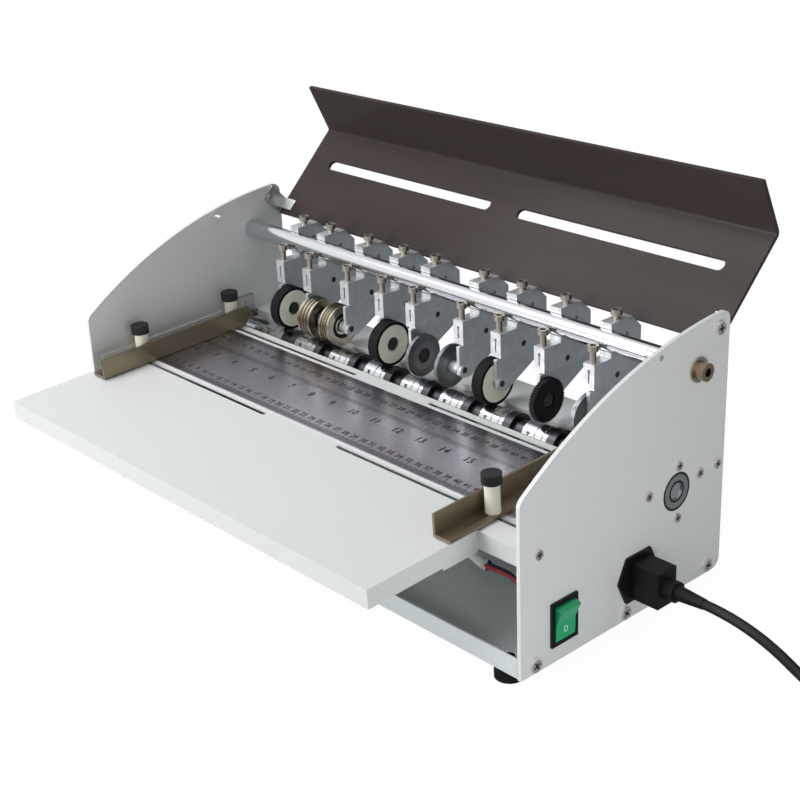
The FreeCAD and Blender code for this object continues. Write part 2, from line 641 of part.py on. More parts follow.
def feed_table():
    """The feed table: sheet with a front flange, two bent-up ends and four slots for the guides."""
    t = "sheet_thick"
    top = box(LEFT, "table_front", f"-{t}", "plate_gap", "table_back - table_front", t)
    flange = box(LEFT, "table_front", "-flange_deep", "plate_gap", t, "flange_deep")
    ends_ = []
    for x in (LEFT, f"{RIGHT} - {t}"):
        ends_.append(box(x, "upstand_front", f"-{t}", t, "upstand_back - upstand_front", f"upstand_high + {t}"))
    holes = []
    for depth in ("table_screw_front", "table_screw_back"):
        along, over = desk_point(depth, "table_screw_line")
        holes.append(drum("x", f"{LEFT} - overrun", along, over, f"table_screw_radius + {HOLE}", "plate_gap + 2*overrun"))
    slots = []
    for y in ("front_slot", "back_slot"):
        for x, long in ((f"{LEFT} + left_slot_near", "left_slot_far - left_slot_near"),
                        (f"{RIGHT} - right_slot_far", "right_slot_far - right_slot_near")):
            slots.append(obround(x, f"{y} - slot_wide/2", f"-{t} - overrun", long, "slot_wide", f"{t} + 2*overrun"))
    table = cut(fuse(top, flange, *ends_), *holes, *slots)
    on_desk(table)
    keep("feed_table", table)


def front_tray():
    """The front tray, as wide as the left plate's outer face, short of the right plate."""
    t = "sheet_thick"
    left = f"{LEFT} - plate_thick"
    wide = "plate_gap + plate_thick - tray_short"
    deep = "tray_reach + table_front"
    top = box(left, "-tray_reach", f"-{t}", wide, deep, t)
    front = box(left, "-tray_reach", "-flange_deep", wide, t, "flange_deep")
    left_side = box(left, "-tray_reach", "-flange_deep", t, "tray_reach", "flange_deep")
    right_x = f"{RIGHT} - tray_short - {t}"
    right_side = box(right_x, "-tray_reach", "-flange_deep", t, deep, "flange_deep")
    step = box(right_x, "-step_from", "-flange_deep - flange_step", t, "step_from + table_front", "flange_step")
    back_side = box(left, f"table_front - {t}", "-flange_deep", wide, t, "flange_deep")
    notch = box(f"{left} - overrun", "-seam", "-flange_deep - overrun", f"plate_thick + {t} + seam + overrun",
                "table_front + seam + overrun", "flange_deep + 2*overrun")
    tray = cut(fuse(top, front, left_side, right_side, step, back_side), notch)
    on_desk(tray)
    keep("front_tray", tray)


def ruler_plate():
    plate = box(f"{LEFT} + ruler_inset", "ruler_front", "0", "plate_gap - 2*ruler_inset", "ruler_back - ruler_front",
                "ruler_thick")
    flat = gather(plate)
    on_desk(flat)
    keep("ruler_plate", flat)


def rear_table():
    """The delivery table behind the rings, bent down to close the back of the base."""
    t = "sheet_thick"
    high = "rear_table_high"
    deep = "plate_deep - rear_table_front"
    top = box(LEFT, back("rear_table_front"), up(f"{high} - {t}"), "plate_gap", deep, t)
    lip = box(LEFT, back("rear_table_front"), up(f"{high} - rear_lip"), "plate_gap", t, "rear_lip")
    ends_ = [box(x, back("rear_table_front"), up(f"{high} - rear_lip"), t, deep, "rear_lip")
             for x in (LEFT, f"{RIGHT} - {t}")]
    wall = box(LEFT, back(f"plate_deep - {t}"), up("pan_lip + seam"), "plate_gap", t, f"{high} - pan_lip - seam")
    holes = [drum("x", f"{LEFT} - overrun", back(y), up("rear_screw_line"), f"table_screw_radius + {HOLE}",
                  "plate_gap + 2*overrun") for y in ("rear_screw_front", "rear_screw_back")]
    keep("rear_table", cut(fuse(top, lip, *ends_, wall), *holes))


def guide(name, blade_x, sign):
    """A side guide: an upright blade with a tapered end and a foot on its outer side, with two clamp nuts."""
    t = "guide_thick"
    table = "sheet_thick"
    low = "ruler_thick + seam"
    body = doc.addObject("PartDesign::Body", "Blade")
    shift = "guide_front"
    outline = draw(body, "YZ_Plane", [("0", "0"), (f"{shift} + guide_back", "0"),
                                      (f"{shift} + guide_back - guide_taper", "guide_high"), ("0", "guide_high")])
    pad = body.newObject("PartDesign::Pad", "Sheet")
    pad.Profile = outline
    tie(pad, Length=t)
    place(body, blade_x, f"-{shift}", low)
    foot_x = f"{blade_x} - guide_foot" if sign < 0 else f"{blade_x} + {t}"
    foot = box(foot_x, f"-{shift}", low, "guide_foot", f"{shift} + guide_foot_back", t)
    knob_x = knob_place(blade_x, sign)
    along, over = desk_point("shaft_deep", "shaft_high")
    room = drum("x", f"{blade_x} - overrun", along, over, "disc_radius + guide_room", f"{t} + 2*overrun")
    holes = [drum("z", knob_x, y, f"{low} - overrun", "stem_radius + run_gap", f"{t} + 2*overrun")
             for y in ("front_slot", "back_slot")]
    slits = []
    for y in ("front_slot", "back_slot"):
        slits.append(box(f"{knob_x} - guide_slit/2", f"{y} - guide_slit_long", f"{low} - overrun", "guide_slit",
                         "guide_slit_long", f"{t} + 2*overrun"))
        slits.append(drum("z", knob_x, f"{y} - guide_slit_long", f"{low} - overrun", "guide_slit/2",
                          f"{t} + 2*overrun"))
    metal = cut(fuse(body, foot), room, *holes, *slits)
    nuts = []
    for y in ("front_slot", "back_slot"):
        nut = box(f"{knob_x} - nut_wide/2", f"{y} - nut_wide/2", f"-{table} - seam - nut_high", "nut_wide",
                  "nut_wide", "nut_high")
        bore = drum("z", knob_x, y, f"-{table} - seam - nut_high - overrun", "stem_radius + run_gap",
                    "nut_high + 2*overrun")
        nuts.append(cut(nut, bore))
    whole = gather(metal, *nuts)
    on_desk(whole)
    keep(name, whole)


def knob_place(blade_x, sign):
    return f"{blade_x} - guide_knob_in" if sign < 0 else f"{blade_x} + guide_thick + guide_knob_in"


def guide_knob(name, knob_x, knob_y):
    """A clamp knob: fluted cap on a sleeve, with a threaded stem down through foot, slot and nut."""
    base = "ruler_thick + 1.5*seam + guide_thick"
    body = doc.addObject("PartDesign::Body", "Cap")
    pad = body.newObject("PartDesign::Pad", "Round")
    pad.Profile = draw(body, "XY_Plane", rounds=[("0", "0", "knob_radius")])
    tie(pad, Length="knob_cap")
    doc.recompute()
    groove = body.newObject("PartDesign::Pocket", "Flute")
    groove.Profile = draw(body, "XY_Plane", rounds=[("knob_radius + flute_radius/2", "0", "flute_radius")])
    groove.Type = 1
    groove.Midplane = True
    flutes = body.newObject("PartDesign::PolarPattern", "Flutes")
    flutes.Originals = [groove]
    flutes.Axis = (plane_axis(body, "Z_Axis"), [""])
    flutes.Angle = 360
    tie(flutes, Occurrences="flute_count")
    body.Tip = flutes
    place(body, knob_x, knob_y, f"{base} + sleeve_high")
    sleeve = drum("z", knob_x, knob_y, base, "sleeve_radius", "sleeve_high")
    stem = drum("z", knob_x, knob_y, f"-sheet_thick - seam - nut_high", "stem_radius",
                f"{base} + sheet_thick + seam + nut_high")
    knob = gather(body, fuse(sleeve, stem))
    on_desk(knob)
    keep(name, knob)


def plane_axis(body, role):
    return next(p for p in body.Origin.OriginFeatures if p.Role == role)


def guides():
    left = f"{LEFT} + left_guide_in"
    right = f"{RIGHT} - right_guide_in"
    guide("left_guide", left, -1)
    guide("right_guide", right, 1)
    for side, blade, sign in (("left", left, -1), ("right", right, 1)):
        for end, y in (("front", "front_slot"), ("back", "back_slot")):
            guide_knob(f"{side}_{end}_knob", knob_place(blade, sign), y)


def arm_rod():
    """The bright rod that carries the arms, tapped at both ends for its bolts."""
    bar = drum("x", LEFT, back("rod_deep"), up("rod_high"), "rod_radius", "plate_gap")
    deep = "rod_bolt_deep + rod_bolt_radius"
    taps = [drum("x", x, back("rod_deep"), up("rod_high"), "rod_bolt_radius + seam", f"{deep} + overrun")
            for x in (f"{LEFT} - overrun", f"{RIGHT} - ({deep})")]
    keep("arm_rod", cut(bar, *taps))


def rod_bolts():
    """A socket head bolt and washer at each end of the arm rod."""
    y, z = back("rod_deep"), up("rod_high")
    pieces = []
    for side in (-1, 1):
        face = f"{RIGHT} + plate_thick" if side > 0 else f"{LEFT} - plate_thick"
        washer_x = face if side > 0 else f"{face} - washer_thick"
        head_x = f"{face} + washer_thick" if side > 0 else f"{face} - washer_thick - cap_screw_high"
        shank_x = f"{RIGHT} - rod_bolt_deep" if side > 0 else f"{face} - washer_thick"
        socket_x = f"{head_x} + cap_screw_high - socket_deep" if side > 0 else f"{head_x} - overrun"
        washer = cut(drum("x", washer_x, y, z, "washer_radius", "washer_thick"),
                     drum("x", f"{washer_x} - overrun", y, z, "rod_bolt_radius + screw_play", "washer_thick + 2*overrun"))
        shank = drum("x", shank_x, y, z, "rod_bolt_radius", "rod_bolt_deep + plate_thick + washer_thick")
        head = cut(drum("x", head_x, y, z, "cap_screw_radius", "cap_screw_high"),
                   hexagon("x", socket_x, y, z, "socket_radius", "socket_deep + overrun"))
        pieces += [washer, fuse(head, shank)]
    keep("rod_bolts", gather(*pieces))


def drive_shaft():
    """The driven shaft with its rimmed belt pulley at the left end."""
    y, z = back("shaft_deep"), up("shaft_high")
    bar = drum("x", f"{LEFT} - plate_thick + shaft_inset", y, z, "shaft_radius",
               "plate_gap + 2*plate_thick - 2*shaft_inset")
    x = f"{LEFT} + belt_in"
    core = ring(x, "pulley_radius", "pulley_wide")
    rims = [ring(start, "pulley_radius + rim_proud", "pulley_rim") for start in (x, f"{x} + pulley_wide - pulley_rim")]
    keep("drive_shaft", gather(bar, fuse(core, *rims)))


def shaft_bearings():
    """A bearing housing in each side plate: round end flush outside, flange with two screws inside."""
    y, z = back("shaft_deep"), up("shaft_high")
    pieces = []
    for side in (-1, 1):
        disc_x = RIGHT if side > 0 else f"{LEFT} - plate_thick"
        flange_x = f"{RIGHT} - bearing_flange" if side > 0 else LEFT
        disc = drum("x", disc_x, y, z, "bearing_radius", "plate_thick")
        tall = "2*bearing_ear + bearing_wide/2"
        flange = box(flange_x, back("shaft_deep - bearing_wide/2"), up(f"shaft_high - ({tall})/2"), "bearing_flange",
                     "bearing_wide", tall)
        start = f"{disc_x if side < 0 else flange_x} - overrun"
        long = "plate_thick + bearing_flange + 2*overrun"
        bore = drum("x", start, y, z, "shaft_radius + run_gap", long)
        screws = [drum("x", start, y, up(f"shaft_high {sign} bearing_ear"), f"table_screw_radius + {HOLE}", long)
                  for sign in "+-"]
        pieces.append(cut(fuse(disc, flange), bore, *screws))
    keep("shaft_bearings", gather(*pieces))


def ring(x, radius, long, bore="shaft_radius + run_gap"):
    y, z = back("shaft_deep"), up("shaft_high")
    return cut(drum("x", x, y, z, radius, long),
               drum("x", f"{x} - overrun", y, z, bore, f"{long} + 2*overrun"))


def collar(x, long):
    """A bright collar with two grooves and a set screw hole."""
    y, z = back("shaft_deep"), up("shaft_high")
    plain = ring(x, "collar_radius", long)
    grooves = []
    for share in GROOVE_shares:
        groove_x = f"{x} + {share}*({long}) - groove_wide/2"
        grooves.append(ring(groove_x, "collar_radius + overrun", "groove_wide", "collar_radius - groove_deep"))
    hole = doc.addObject("Part::Cylinder", "SetScrew")
    hole.Placement = FreeCAD.Placement(FreeCAD.Vector(), LEAN)
    tie(hole, Radius="set_screw_radius", Height="collar_radius + overrun", Placement__Rotation__Angle="set_screw_lean")
    place(hole, f"{x} + {SET_SCREW_share}*({long})", y, z)
    return cut(plain, *grooves, hole)


def shaft_rings():
    """Sets of bright collar, dark disc and dark spacer along the shaft; the left end is the pulley's."""
    pitch = "plate_gap/ring_count"
    count = int(size("ring_count"))
    rings = []
    for n in range(1, count):
        start = f"{LEFT} + {n}*{pitch}"
        rings.append(collar(start, f"{pitch}*collar_share"))
        disc_long = f"{pitch}*disc_share"
        spacer_long = f"{pitch}*(1 - collar_share - disc_share)"
        if n == 1:
            spacer_x, disc_x = f"{start} + {pitch}*collar_share", f"{start} + {pitch}*(1 - disc_share)"
        else:
            disc_x, spacer_x = f"{start} + {pitch}*collar_share", f"{start} + {pitch}*(collar_share + disc_share)"
        if n == count - 1:
            spacer_long += " - bearing_flange - ring_end_gap"
        rings.append(ring(disc_x, "disc_radius", disc_long))
        rings.append(ring(spacer_x, "spacer_radius", spacer_long))
    keep("shaft_rings", gather(*rings))


def motor_pulley():
    """The driving pulley on the motor's output shaft."""
    y, z = back("motor_deep"), up("motor_high")
    x = f"{LEFT} + belt_in"
    core = drum("x", x, y, z, "motor_pulley_radius", "pulley_wide")
    rims = [drum("x", start, y, z, "motor_pulley_radius + rim_proud", "pulley_rim")
            for start in (x, f"{x} + pulley_wide - pulley_rim")]
    shaft = drum("x", x, y, z, "motor_shaft_radius", "pulley_wide + motor_gap - boss_long - seam")
    keep("motor_pulley", fuse(core, *rims, shaft))


def drive_motor():
    """The gear motor: gearbox and can on a bracket that stands on the base pan's floor."""
    y, z = back("motor_deep"), up("motor_high")
    box_x = f"{LEFT} + belt_in + pulley_wide + motor_gap"
    case = box(box_x, back("motor_deep - gearbox_wide/2"), up("motor_high - gearbox_wide/2"), "gearbox_long",
               "gearbox_wide", "gearbox_wide")
    can = drum("x", f"{box_x} + gearbox_long", y, z, "motor_radius", "motor_long")
    stand = box(box_x, back("motor_deep - gearbox_wide/2"), up("sheet_thick"), "gearbox_long", "gearbox_wide",
                "motor_high - gearbox_wide/2 - sheet_thick")
    boss = drum("x", f"{box_x} - boss_long", y, z, "boss_radius", "boss_long + overrun")
    keep("drive_motor", fuse(case, can, stand, boss))


def drive_belt():
    """The belt as it lies: a closed strip round both pulleys, with a little play."""
    start = FreeCAD.Vector(0, size("shaft_deep"), size("shaft_high"))
    end = FreeCAD.Vector(0, size("motor_deep"), size("motor_high"))
    inner = strip_loop(start, size("pulley_radius") + size("belt_gap"), end, size("motor_pulley_radius") + size("belt_gap"))
    outer = strip_loop(start, size("pulley_radius") + size("belt_gap") + size("belt_thick"), end,
                       size("motor_pulley_radius") + size("belt_gap") + size("belt_thick"))
    face = Part.makeFace([outer, inner], "Part::FaceMakerBullseye")
    wide = size("pulley_wide") - 2 * size("pulley_rim") - 2 * size("belt_gap")
    belt = doc.addObject("Part::Feature", "Belt")
    belt.Shape = face.extrude(FreeCAD.Vector(wide, 0, 0))
    belt.Placement = FreeCAD.Placement(FreeCAD.Vector(-size("plate_gap") / 2 + size("belt_in") + size("pulley_rim")
                                                      + size("belt_gap"), -size("mid_to_front"), size("foot_high")),
                                       FreeCAD.Rotation())
    keep("drive_belt", belt)


def strip_loop(first, first_radius, second, second_radius):
    """The closed outline of two round ends and the two straight lines that touch both, in the YZ plane."""
    line = second - first
    turn = math.atan2(line.z, line.y)
    spread = math.acos((first_radius - second_radius) / line.Length)

    def on(centre, radius, angle):
        return centre + FreeCAD.Vector(0, math.cos(angle), math.sin(angle)) * radius

    a1, a2 = on(first, first_radius, turn + spread), on(first, first_radius, turn - spread)
    b1, b2 = on(second, second_radius, turn + spread), on(second, second_radius, turn - spread)
    edges = [Part.Arc(a1, on(first, first_radius, turn + math.pi), a2).toShape(), Part.LineSegment(a2, b2).toShape(),
             Part.Arc(b2, on(second, second_radius, turn), b1).toShape(), Part.LineSegment(b1, a1).toShape()]
    return Part.Wire(edges)


def holder(number, middle):
    """A bent sheet arm holder that hooks round the rod, with its pressure screw, lock screw and pivot pin."""
    t = "sheet_thick"
    corners = [("holder_front", "holder_low"), ("holder_back", "holder_low"),
               ("holder_back", "holder_top - holder_chamfer"), ("holder_back - holder_chamfer", "holder_top"),
               ("holder_rear_front", "holder_top"), ("holder_rear_front", "holder_step"),
               ("holder_front", "holder_step")]
    body = doc.addObject("PartDesign::Body", "Holder")
    pad = body.newObject("PartDesign::Pad", "Block")
    pad.Profile = draw(body, "YZ_Plane", corners)
    pad.Midplane = True
    tie(pad, Length="holder_wide")
    half = f"holder_wide/2 - {t}"
    inner = f"holder_wide - 2*{t}"
    low = box(f"-({half})", f"holder_front + {t}", "holder_low - overrun", inner, "holder_back - holder_front",
              f"holder_step - holder_low - {t} + overrun")
    tall = box(f"-({half})", f"holder_rear_front + {t}", "holder_low - overrun", inner,
               "holder_back - holder_rear_front", f"holder_top - holder_low - {t} + overrun")
    across = ("-holder_wide/2 - overrun", "holder_wide + 2*overrun")
    rod = drum("x", across[0], "rod_deep", "rod_high", "rod_radius + rod_play", across[1])
    pivot = drum("x", across[0], "pivot_deep", "pivot_high", "pivot_radius + run_gap", across[1])
    pin = drum("x", across[0], "pin_deep", "pin_high", "pin_radius", across[1])
    press = drum("z", "0", "rod_deep - press_screw", "holder_low", "arm_screw_radius + run_gap", "holder_top - holder_low")
    lock = drum("z", "0", "lock_screw", "lock_tip - overrun", "arm_screw_radius + run_gap", "holder_top - lock_tip + 2*overrun")
    slit_low = f"holder_step - keyhole_drop - keyhole_radius - slit_long"
    slit = box("-slit_wide/2", "holder_front - overrun", slit_low, "slit_wide", f"{t} + 2*overrun", "slit_long + keyhole_radius")
    dot = drum("y", "0", "holder_front - overrun", "holder_step - keyhole_drop - keyhole_radius", "keyhole_radius",
               f"{t} + 2*overrun")
    shell = cut(body, low, tall, rod, pivot, pin, press, lock, slit, dot)
    pivot_pin = drum("x", "-holder_wide/2", "pivot_deep", "pivot_high", "pivot_radius", "holder_wide")
    whole = gather(shell, arm_screw("rod_deep - press_screw", "press_head", "lever_crown + sheet_thick"),
                   arm_screw("lock_screw", "lock_head", "lock_tip"), pivot_pin)
    place(whole, middle, "-mid_to_front", "foot_high")
    keep(f"arm_{number}_holder", whole)


def arm_screw(depth, top, tip):
    """A socket head screw standing in an arm holder."""
    head = drum("z", "0", depth, f"{top} - arm_head_high", "arm_head_radius", "arm_head_high")
    socket = hexagon("z", "0", depth, f"{top} - arm_head_high/2", "arm_screw_radius", "arm_head_high/2 + overrun")
    thread = drum("z", "0", depth, tip, "arm_screw_radius", f"{top} - arm_head_high - ({tip})")
    return fuse(cut(head, socket), thread)


def wheel_faces(number):
    """The wheel's left face from the arm's centre plane, as a formula."""
    wide = f"wheel_wide_{number + 1}"
    if WHEEL_SIDES[number] > 0:
        return "lever_side + lever_thick + wheel_play", wide
    spacer = {2: " - spacer_long_3", 5: " - spacer_long_6"}.get(number, "")
    return f"lever_side - wheel_play{spacer} - {wide}", wide


def lever(number, middle):
    """The sprung lever plate with the axle that its wheel turns on."""
    corners = [("lever_front", "lever_shoulder"), ("lever_front", "lever_nose"), ("wheel_deep", "lever_tip"),
               ("lever_toe", "lever_tip"), ("lever_heel", "lever_heel_low"),
               ("lever_heel", "lever_heel_low + lever_heel_rise"), ("lever_heel - lever_heel_run", "lever_crown"),
               ("holder_front + 2*sheet_thick", "lever_crown"), ("holder_front + 2*sheet_thick", "lever_shoulder")]
    body = doc.addObject("PartDesign::Body", "Lever")
    pad = body.newObject("PartDesign::Pad", "Plate")
    pad.Profile = draw(body, "YZ_Plane", corners)
    tie(pad, Length="lever_thick")
    place(body, "lever_side", "0", "0")
    bores = [drum("x", "lever_side - overrun", y, z, radius, "lever_thick + 2*overrun")
             for y, z, radius in (("pivot_deep", "pivot_high", "pivot_radius + run_gap"),
                                  ("wheel_deep", "wheel_high", "axle_radius + run_gap"))]
    near, wide = wheel_faces(number)
    right = WHEEL_SIDES[number] > 0
    head, head_radius = "axle_head_high", "axle_head_radius"
    sunk = "(well_deep + axle_head_high)/2"
    left_head = f"lever_side - {head}" if right else f"{near} + well_deep - {sunk} + {head}/2 - {head}/2"
    right_head = f"{near} + {wide} - well_deep + {sunk} - {head}" if right else "lever_side + lever_thick"
    shaft = drum("x", left_head, "wheel_deep", "wheel_high", "axle_radius", f"{right_head} - ({left_head}) + {head}")
    heads = [drum("x", x, "wheel_deep", "wheel_high", head_radius, head) for x in (left_head, right_head)]
    pieces = [shaft, *heads]
    if not right and number in (2, 5):
        pieces.append(drum("x", f"{near} + {wide} + wheel_play", "wheel_deep", "wheel_high", "axle_spacer_radius",
                           f"lever_side - wheel_play - ({near} + {wide})"))
    whole = gather(cut(body, *bores), fuse(*pieces))
    place(whole, middle, "-mid_to_front", "foot_high")
    keep(f"arm_{number + 1}_lever", whole)


def wheel(number, middle):
    """One wheel: rubber tyred, creasing, disc or toothed."""
    kind = WHEEL_KINDS[number]
    near, wide = wheel_faces(number)
    y, z = "wheel_deep", "wheel_high"
    right = WHEEL_SIDES[number] > 0

    def round_(x, radius, long):
        return drum("x", x, y, z, radius, long)

    bore = round_(f"{near} - overrun", "axle_radius + run_gap", f"{wide} + 2*overrun")
    well_x = f"{near} + {wide} - well_deep" if right else f"{near} - overrun"
    well = round_(well_x, "well_radius", "well_deep + overrun")
    tools = [bore, well]
    pieces = []
    if kind == "rubber":
        core = round_(near, "hub_radius", wide)
        pieces.append(cut(round_(near, "tyre_radius", wide),
                          round_(f"{near} - overrun", "hub_radius", f"{wide} + 2*overrun")))
    elif kind == "creaser":
        core = round_(near, "tool_radius", wide)
        for share in ("1/4", "2/4", "3/4"):
            groove_x = f"{near} + {wide}*{share} - rib_wide/2"
            tools.append(cut(round_(groove_x, "tool_radius + overrun", "rib_wide"),
                             round_(f"{groove_x} - overrun", "rib_radius", "rib_wide + 2*overrun")))
        for x in (f"{near} - overrun", f"{near} + {wide} - face_recess"):
            tools.append(round_(x, "bearing_ring_radius", "face_recess + overrun"))
    elif kind == "blade":
        core = fuse(round_(near, "blade_hub_radius", wide),
                    round_(f"{near} + {wide} - blade_thick", "tool_radius", "blade_thick"))
    else:
        core = toothed_disc(near, wide)
    pieces.insert(0, cut(core, *tools))
    whole = gather(*pieces)
    place(whole, middle, "-mid_to_front", "foot_high")
    keep(f"arm_{number + 1}_wheel", whole)


def toothed_disc(near, wide):
    body = doc.addObject("PartDesign::Body", "Toothed")
    pad = body.newObject("PartDesign::Pad", "Disc")
    pad.Profile = draw(body, "YZ_Plane", rounds=[("0", "0", "tool_radius")])
    tie(pad, Length=wide)
    doc.recompute()
    notch = body.newObject("PartDesign::Pocket", "Notch")
    notch.Profile = draw(body, "YZ_Plane", rounds=[("tool_radius - tooth_deep + tooth_radius", "0", "tooth_radius")])
    notch.Type = 1
    notch.Midplane = True
    notches = body.newObject("PartDesign::PolarPattern", "Notches")
    notches.Originals = [notch]
    notches.Axis = (plane_axis(body, "X_Axis"), [""])
    notches.Angle = 360
    tie(notches, Occurrences="tooth_count")
    body.Tip = notches
    place(body, near, "wheel_deep", "wheel_high")
    return body


def arms():
    for number, share in enumerate(ARM_shares):
        middle = f"plate_gap*({share} - 0.5)"
        holder(number + 1, middle)
        lever(number, middle)
        wheel(number, middle)


LID_FOOT = ("lid_foot_deep", "lid_foot_high")


def on_lid(item, x="0"):
    """Lay a piece modelled flat, with Y up the panel and Z out of its front face, on the open lid."""
    item.Placement = FreeCAD.Placement(FreeCAD.Vector(), LEAN)
    tie(item, Placement__Rotation__Angle="lid_lean")
    place(item, x, back("lid_foot_deep"), up("lid_foot_high"))


def lid_panel():
    """The see-through lid: a bent sheet with two long slots in its main panel."""
    t = "lid_thick"
    foot_y, foot_z = LID_FOOT
    fold_y, fold_z = f"{foot_y} + lid_panel*cos(lid_lean)", f"{foot_z} + lid_panel*sin(lid_lean)"
    tip_y, tip_z = f"{fold_y} + lid_flap*cos(flap_lean)", f"{fold_z} + lid_flap*sin(flap_lean)"
    spread = f"{t}/(1 + cos(flap_lean - lid_lean))"
    corners = [(foot_y, foot_z), (f"{foot_y} + {t}*sin(lid_lean)", f"{foot_z} - {t}*cos(lid_lean)"),
               (f"{fold_y} + {spread}*(sin(lid_lean) + sin(flap_lean))",
                f"{fold_z} - {spread}*(cos(lid_lean) + cos(flap_lean))"),
               (f"{tip_y} + {t}*sin(flap_lean)", f"{tip_z} - {t}*cos(flap_lean)"), (tip_y, tip_z), (fold_y, fold_z)]
    body = doc.addObject("PartDesign::Body", "Lid")
    pad = body.newObject("PartDesign::Pad", "Sheet")
    pad.Profile = draw(body, "YZ_Plane", corners)
    pad.Midplane = True
    tie(pad, Length="plate_gap - 2*lid_side_gap")
    doc.recompute()
    bend = body.newObject("PartDesign::Fillet", "Fold")
    bend.Base = (pad, [edge_along_x(pad.Shape, value(fold_y), value(fold_z))])
    tie(bend, Radius="fold_round")
    outer = body.newObject("PartDesign::Fillet", "FoldBack")
    doc.recompute()
    outer.Base = (bend, [edge_along_x(bend.Shape, value(corners[2][0]), value(corners[2][1]))])
    tie(outer, Radius=f"fold_round + {t}")
    place(body, "0", "-mid_to_front", "foot_high")
    slots = []
    for x in (f"{LEFT} + lid_slot_side", f"{RIGHT} - lid_slot_side - lid_slot_long"):
        slot = obround(x, "lid_slot_up - lid_slot_high/2", f"-{t} - overrun", "lid_slot_long", "lid_slot_high",
                       f"{t} + 2*overrun")
        on_lid(slot)
        slots.append(slot)
    keep("lid_panel", cut(body, *slots))


def lid_brackets():
    """Two small angle brackets that carry the lid on its pivots."""
    reach = "(lid_pivot_deep - lid_foot_deep)*cos(lid_lean) + (lid_pivot_high - lid_foot_high)*sin(lid_lean)"
    rise = "(lid_pivot_high - lid_foot_high)*cos(lid_lean) - (lid_pivot_deep - lid_foot_deep)*sin(lid_lean)"
    pieces = []
    for side in (-1, 1):
        leg_x = f"{RIGHT} - bracket_gap - bracket_thick" if side > 0 else f"{LEFT} + bracket_gap"
        foot_x = f"{RIGHT} - bracket_gap - bracket_wide" if side > 0 else f"{LEFT} + bracket_gap"
        leg = box(leg_x, f"{reach} - bracket_round", "0", "bracket_thick", "2*bracket_round + bracket_lift",
                  f"{rise} + bracket_round")
        foot = box(foot_x, f"{reach} - bracket_round + bracket_lift", "0", "bracket_wide", "bracket_foot",
                   "bracket_thick")
        bore = drum("x", f"{leg_x} - overrun", reach, rise, "lid_pivot_radius + run_gap", "bracket_thick + 2*overrun")
        pieces.append(cut(fuse(leg, foot), bore))
    whole = gather(*pieces)
    on_lid(whole)
    keep("lid_brackets", whole)


def plate_screws():
    """All small screws of the side plates, the lid's pivot screws with their nuts and its two stop pins."""
    pieces = []
    kinds = [(spots, "table_screw_radius", "table_screw_head", "table_screw_high", "screw_reach")
             for spots in [plate_screw_spots()]]
    kinds.append((pan_screw_spots(), "pan_screw_radius", "pan_screw_head", "pan_screw_high", "screw_reach"))
    pivot_long = "plate_thick + bracket_gap + bracket_thick + seam + pivot_nut_high"
    kinds.append(([("lid_pivot_deep", "lid_pivot_high")], "lid_pivot_radius", "pan_screw_head", "pan_screw_high",
                  pivot_long))
    for side in (-1, 1):
        for spots, radius, head_radius, head_high, reach in kinds:
            for y, z in spots:
                head_x = f"{RIGHT} + plate_thick" if side > 0 else f"{LEFT} - plate_thick - {head_high}"
                shank_x = f"{RIGHT} + plate_thick - ({reach})" if side > 0 else f"{LEFT} - plate_thick"
                screw = [drum("x", head_x, back(y), up(z), head_radius, head_high),
                         drum("x", shank_x, back(y), up(z), radius, reach)]
                if radius == "lid_pivot_radius":
                    nut_x = shank_x if side > 0 else f"{LEFT} - plate_thick + {pivot_long} - pivot_nut_high"
                    screw.append(drum("x", nut_x, back(y), up(z), "pivot_nut_radius", "pivot_nut_high"))
                pieces.append(fuse(*screw))
        pin_x = f"{RIGHT} - stop_long" if side > 0 else LEFT
        tail_x = f"{RIGHT} - overrun" if side > 0 else f"{LEFT} - plate_thick"
        pin = drum("x", pin_x, back("stop_deep"), up("stop_high"), "stop_radius", "stop_long")
        tail = drum("x", tail_x, back("stop_deep"), up("stop_high"), "stop_tail", "plate_thick + overrun")
        pieces.append(fuse(pin, tail))
    keep("plate_screws", gather(*pieces))


def switch():
    """The rocker switch: a black housing with a raised rim, and its rocker."""
    y, z = back("switch_deep"), up("switch_high")
    face = f"{RIGHT} + plate_thick"
    bezel = box(face, back("switch_deep - switch_wide/2"), up("switch_high - switch_tall/2"), "bezel_thick",
                "switch_wide", "switch_tall")
    shell_wide, shell_tall = "switch_wide - bezel_rim - 2*screw_play", "switch_tall - bezel_rim - 2*screw_play"
    shell = box(f"{face} - switch_body", back(f"switch_deep - ({shell_wide})/2"), up(f"switch_high - ({shell_tall})/2"),
                "switch_body", shell_wide, shell_tall)
    open_wide, open_tall = "switch_wide - 2*bezel_rim", "switch_tall - 2*bezel_rim"
    room = box(f"{face} - switch_body/2", back(f"switch_deep - ({open_wide})/2"), up(f"switch_high - ({open_tall})/2"),
               "switch_body/2 + bezel_thick + overrun", open_wide, open_tall)
    keep("switch_housing", cut(fuse(bezel, shell), room))
    wide = f"{open_wide} - 2*rocker_play"
    reach = f"({open_tall})/2 - rocker_play"
    round_ = drum("y", "-rocker_deep/3", f"-({wide})/2", "0", reach, wide)
    profile = doc.addObject("PartDesign::Body", "Rocker")
    pad = profile.newObject("PartDesign::Pad", "Block")
    far = "switch_tall/2"
    pad.Profile = draw(profile, "XZ_Plane", [("-rocker_deep", f"-{far}"), ("0", f"-{far}"), ("rocker_deep/5", "0"),
                                             (f"rocker_proud*{ROCKER_rise_share}", far), ("-rocker_deep", far)])
    pad.Midplane = True
    tie(pad, Length=wide)
    rocker = doc.addObject("Part::Common", "Rocker")
    rocker.Base, rocker.Tool = profile, round_
    place(rocker, f"{face} + bezel_thick", y, z)
    keep("switch_rocker", rocker)


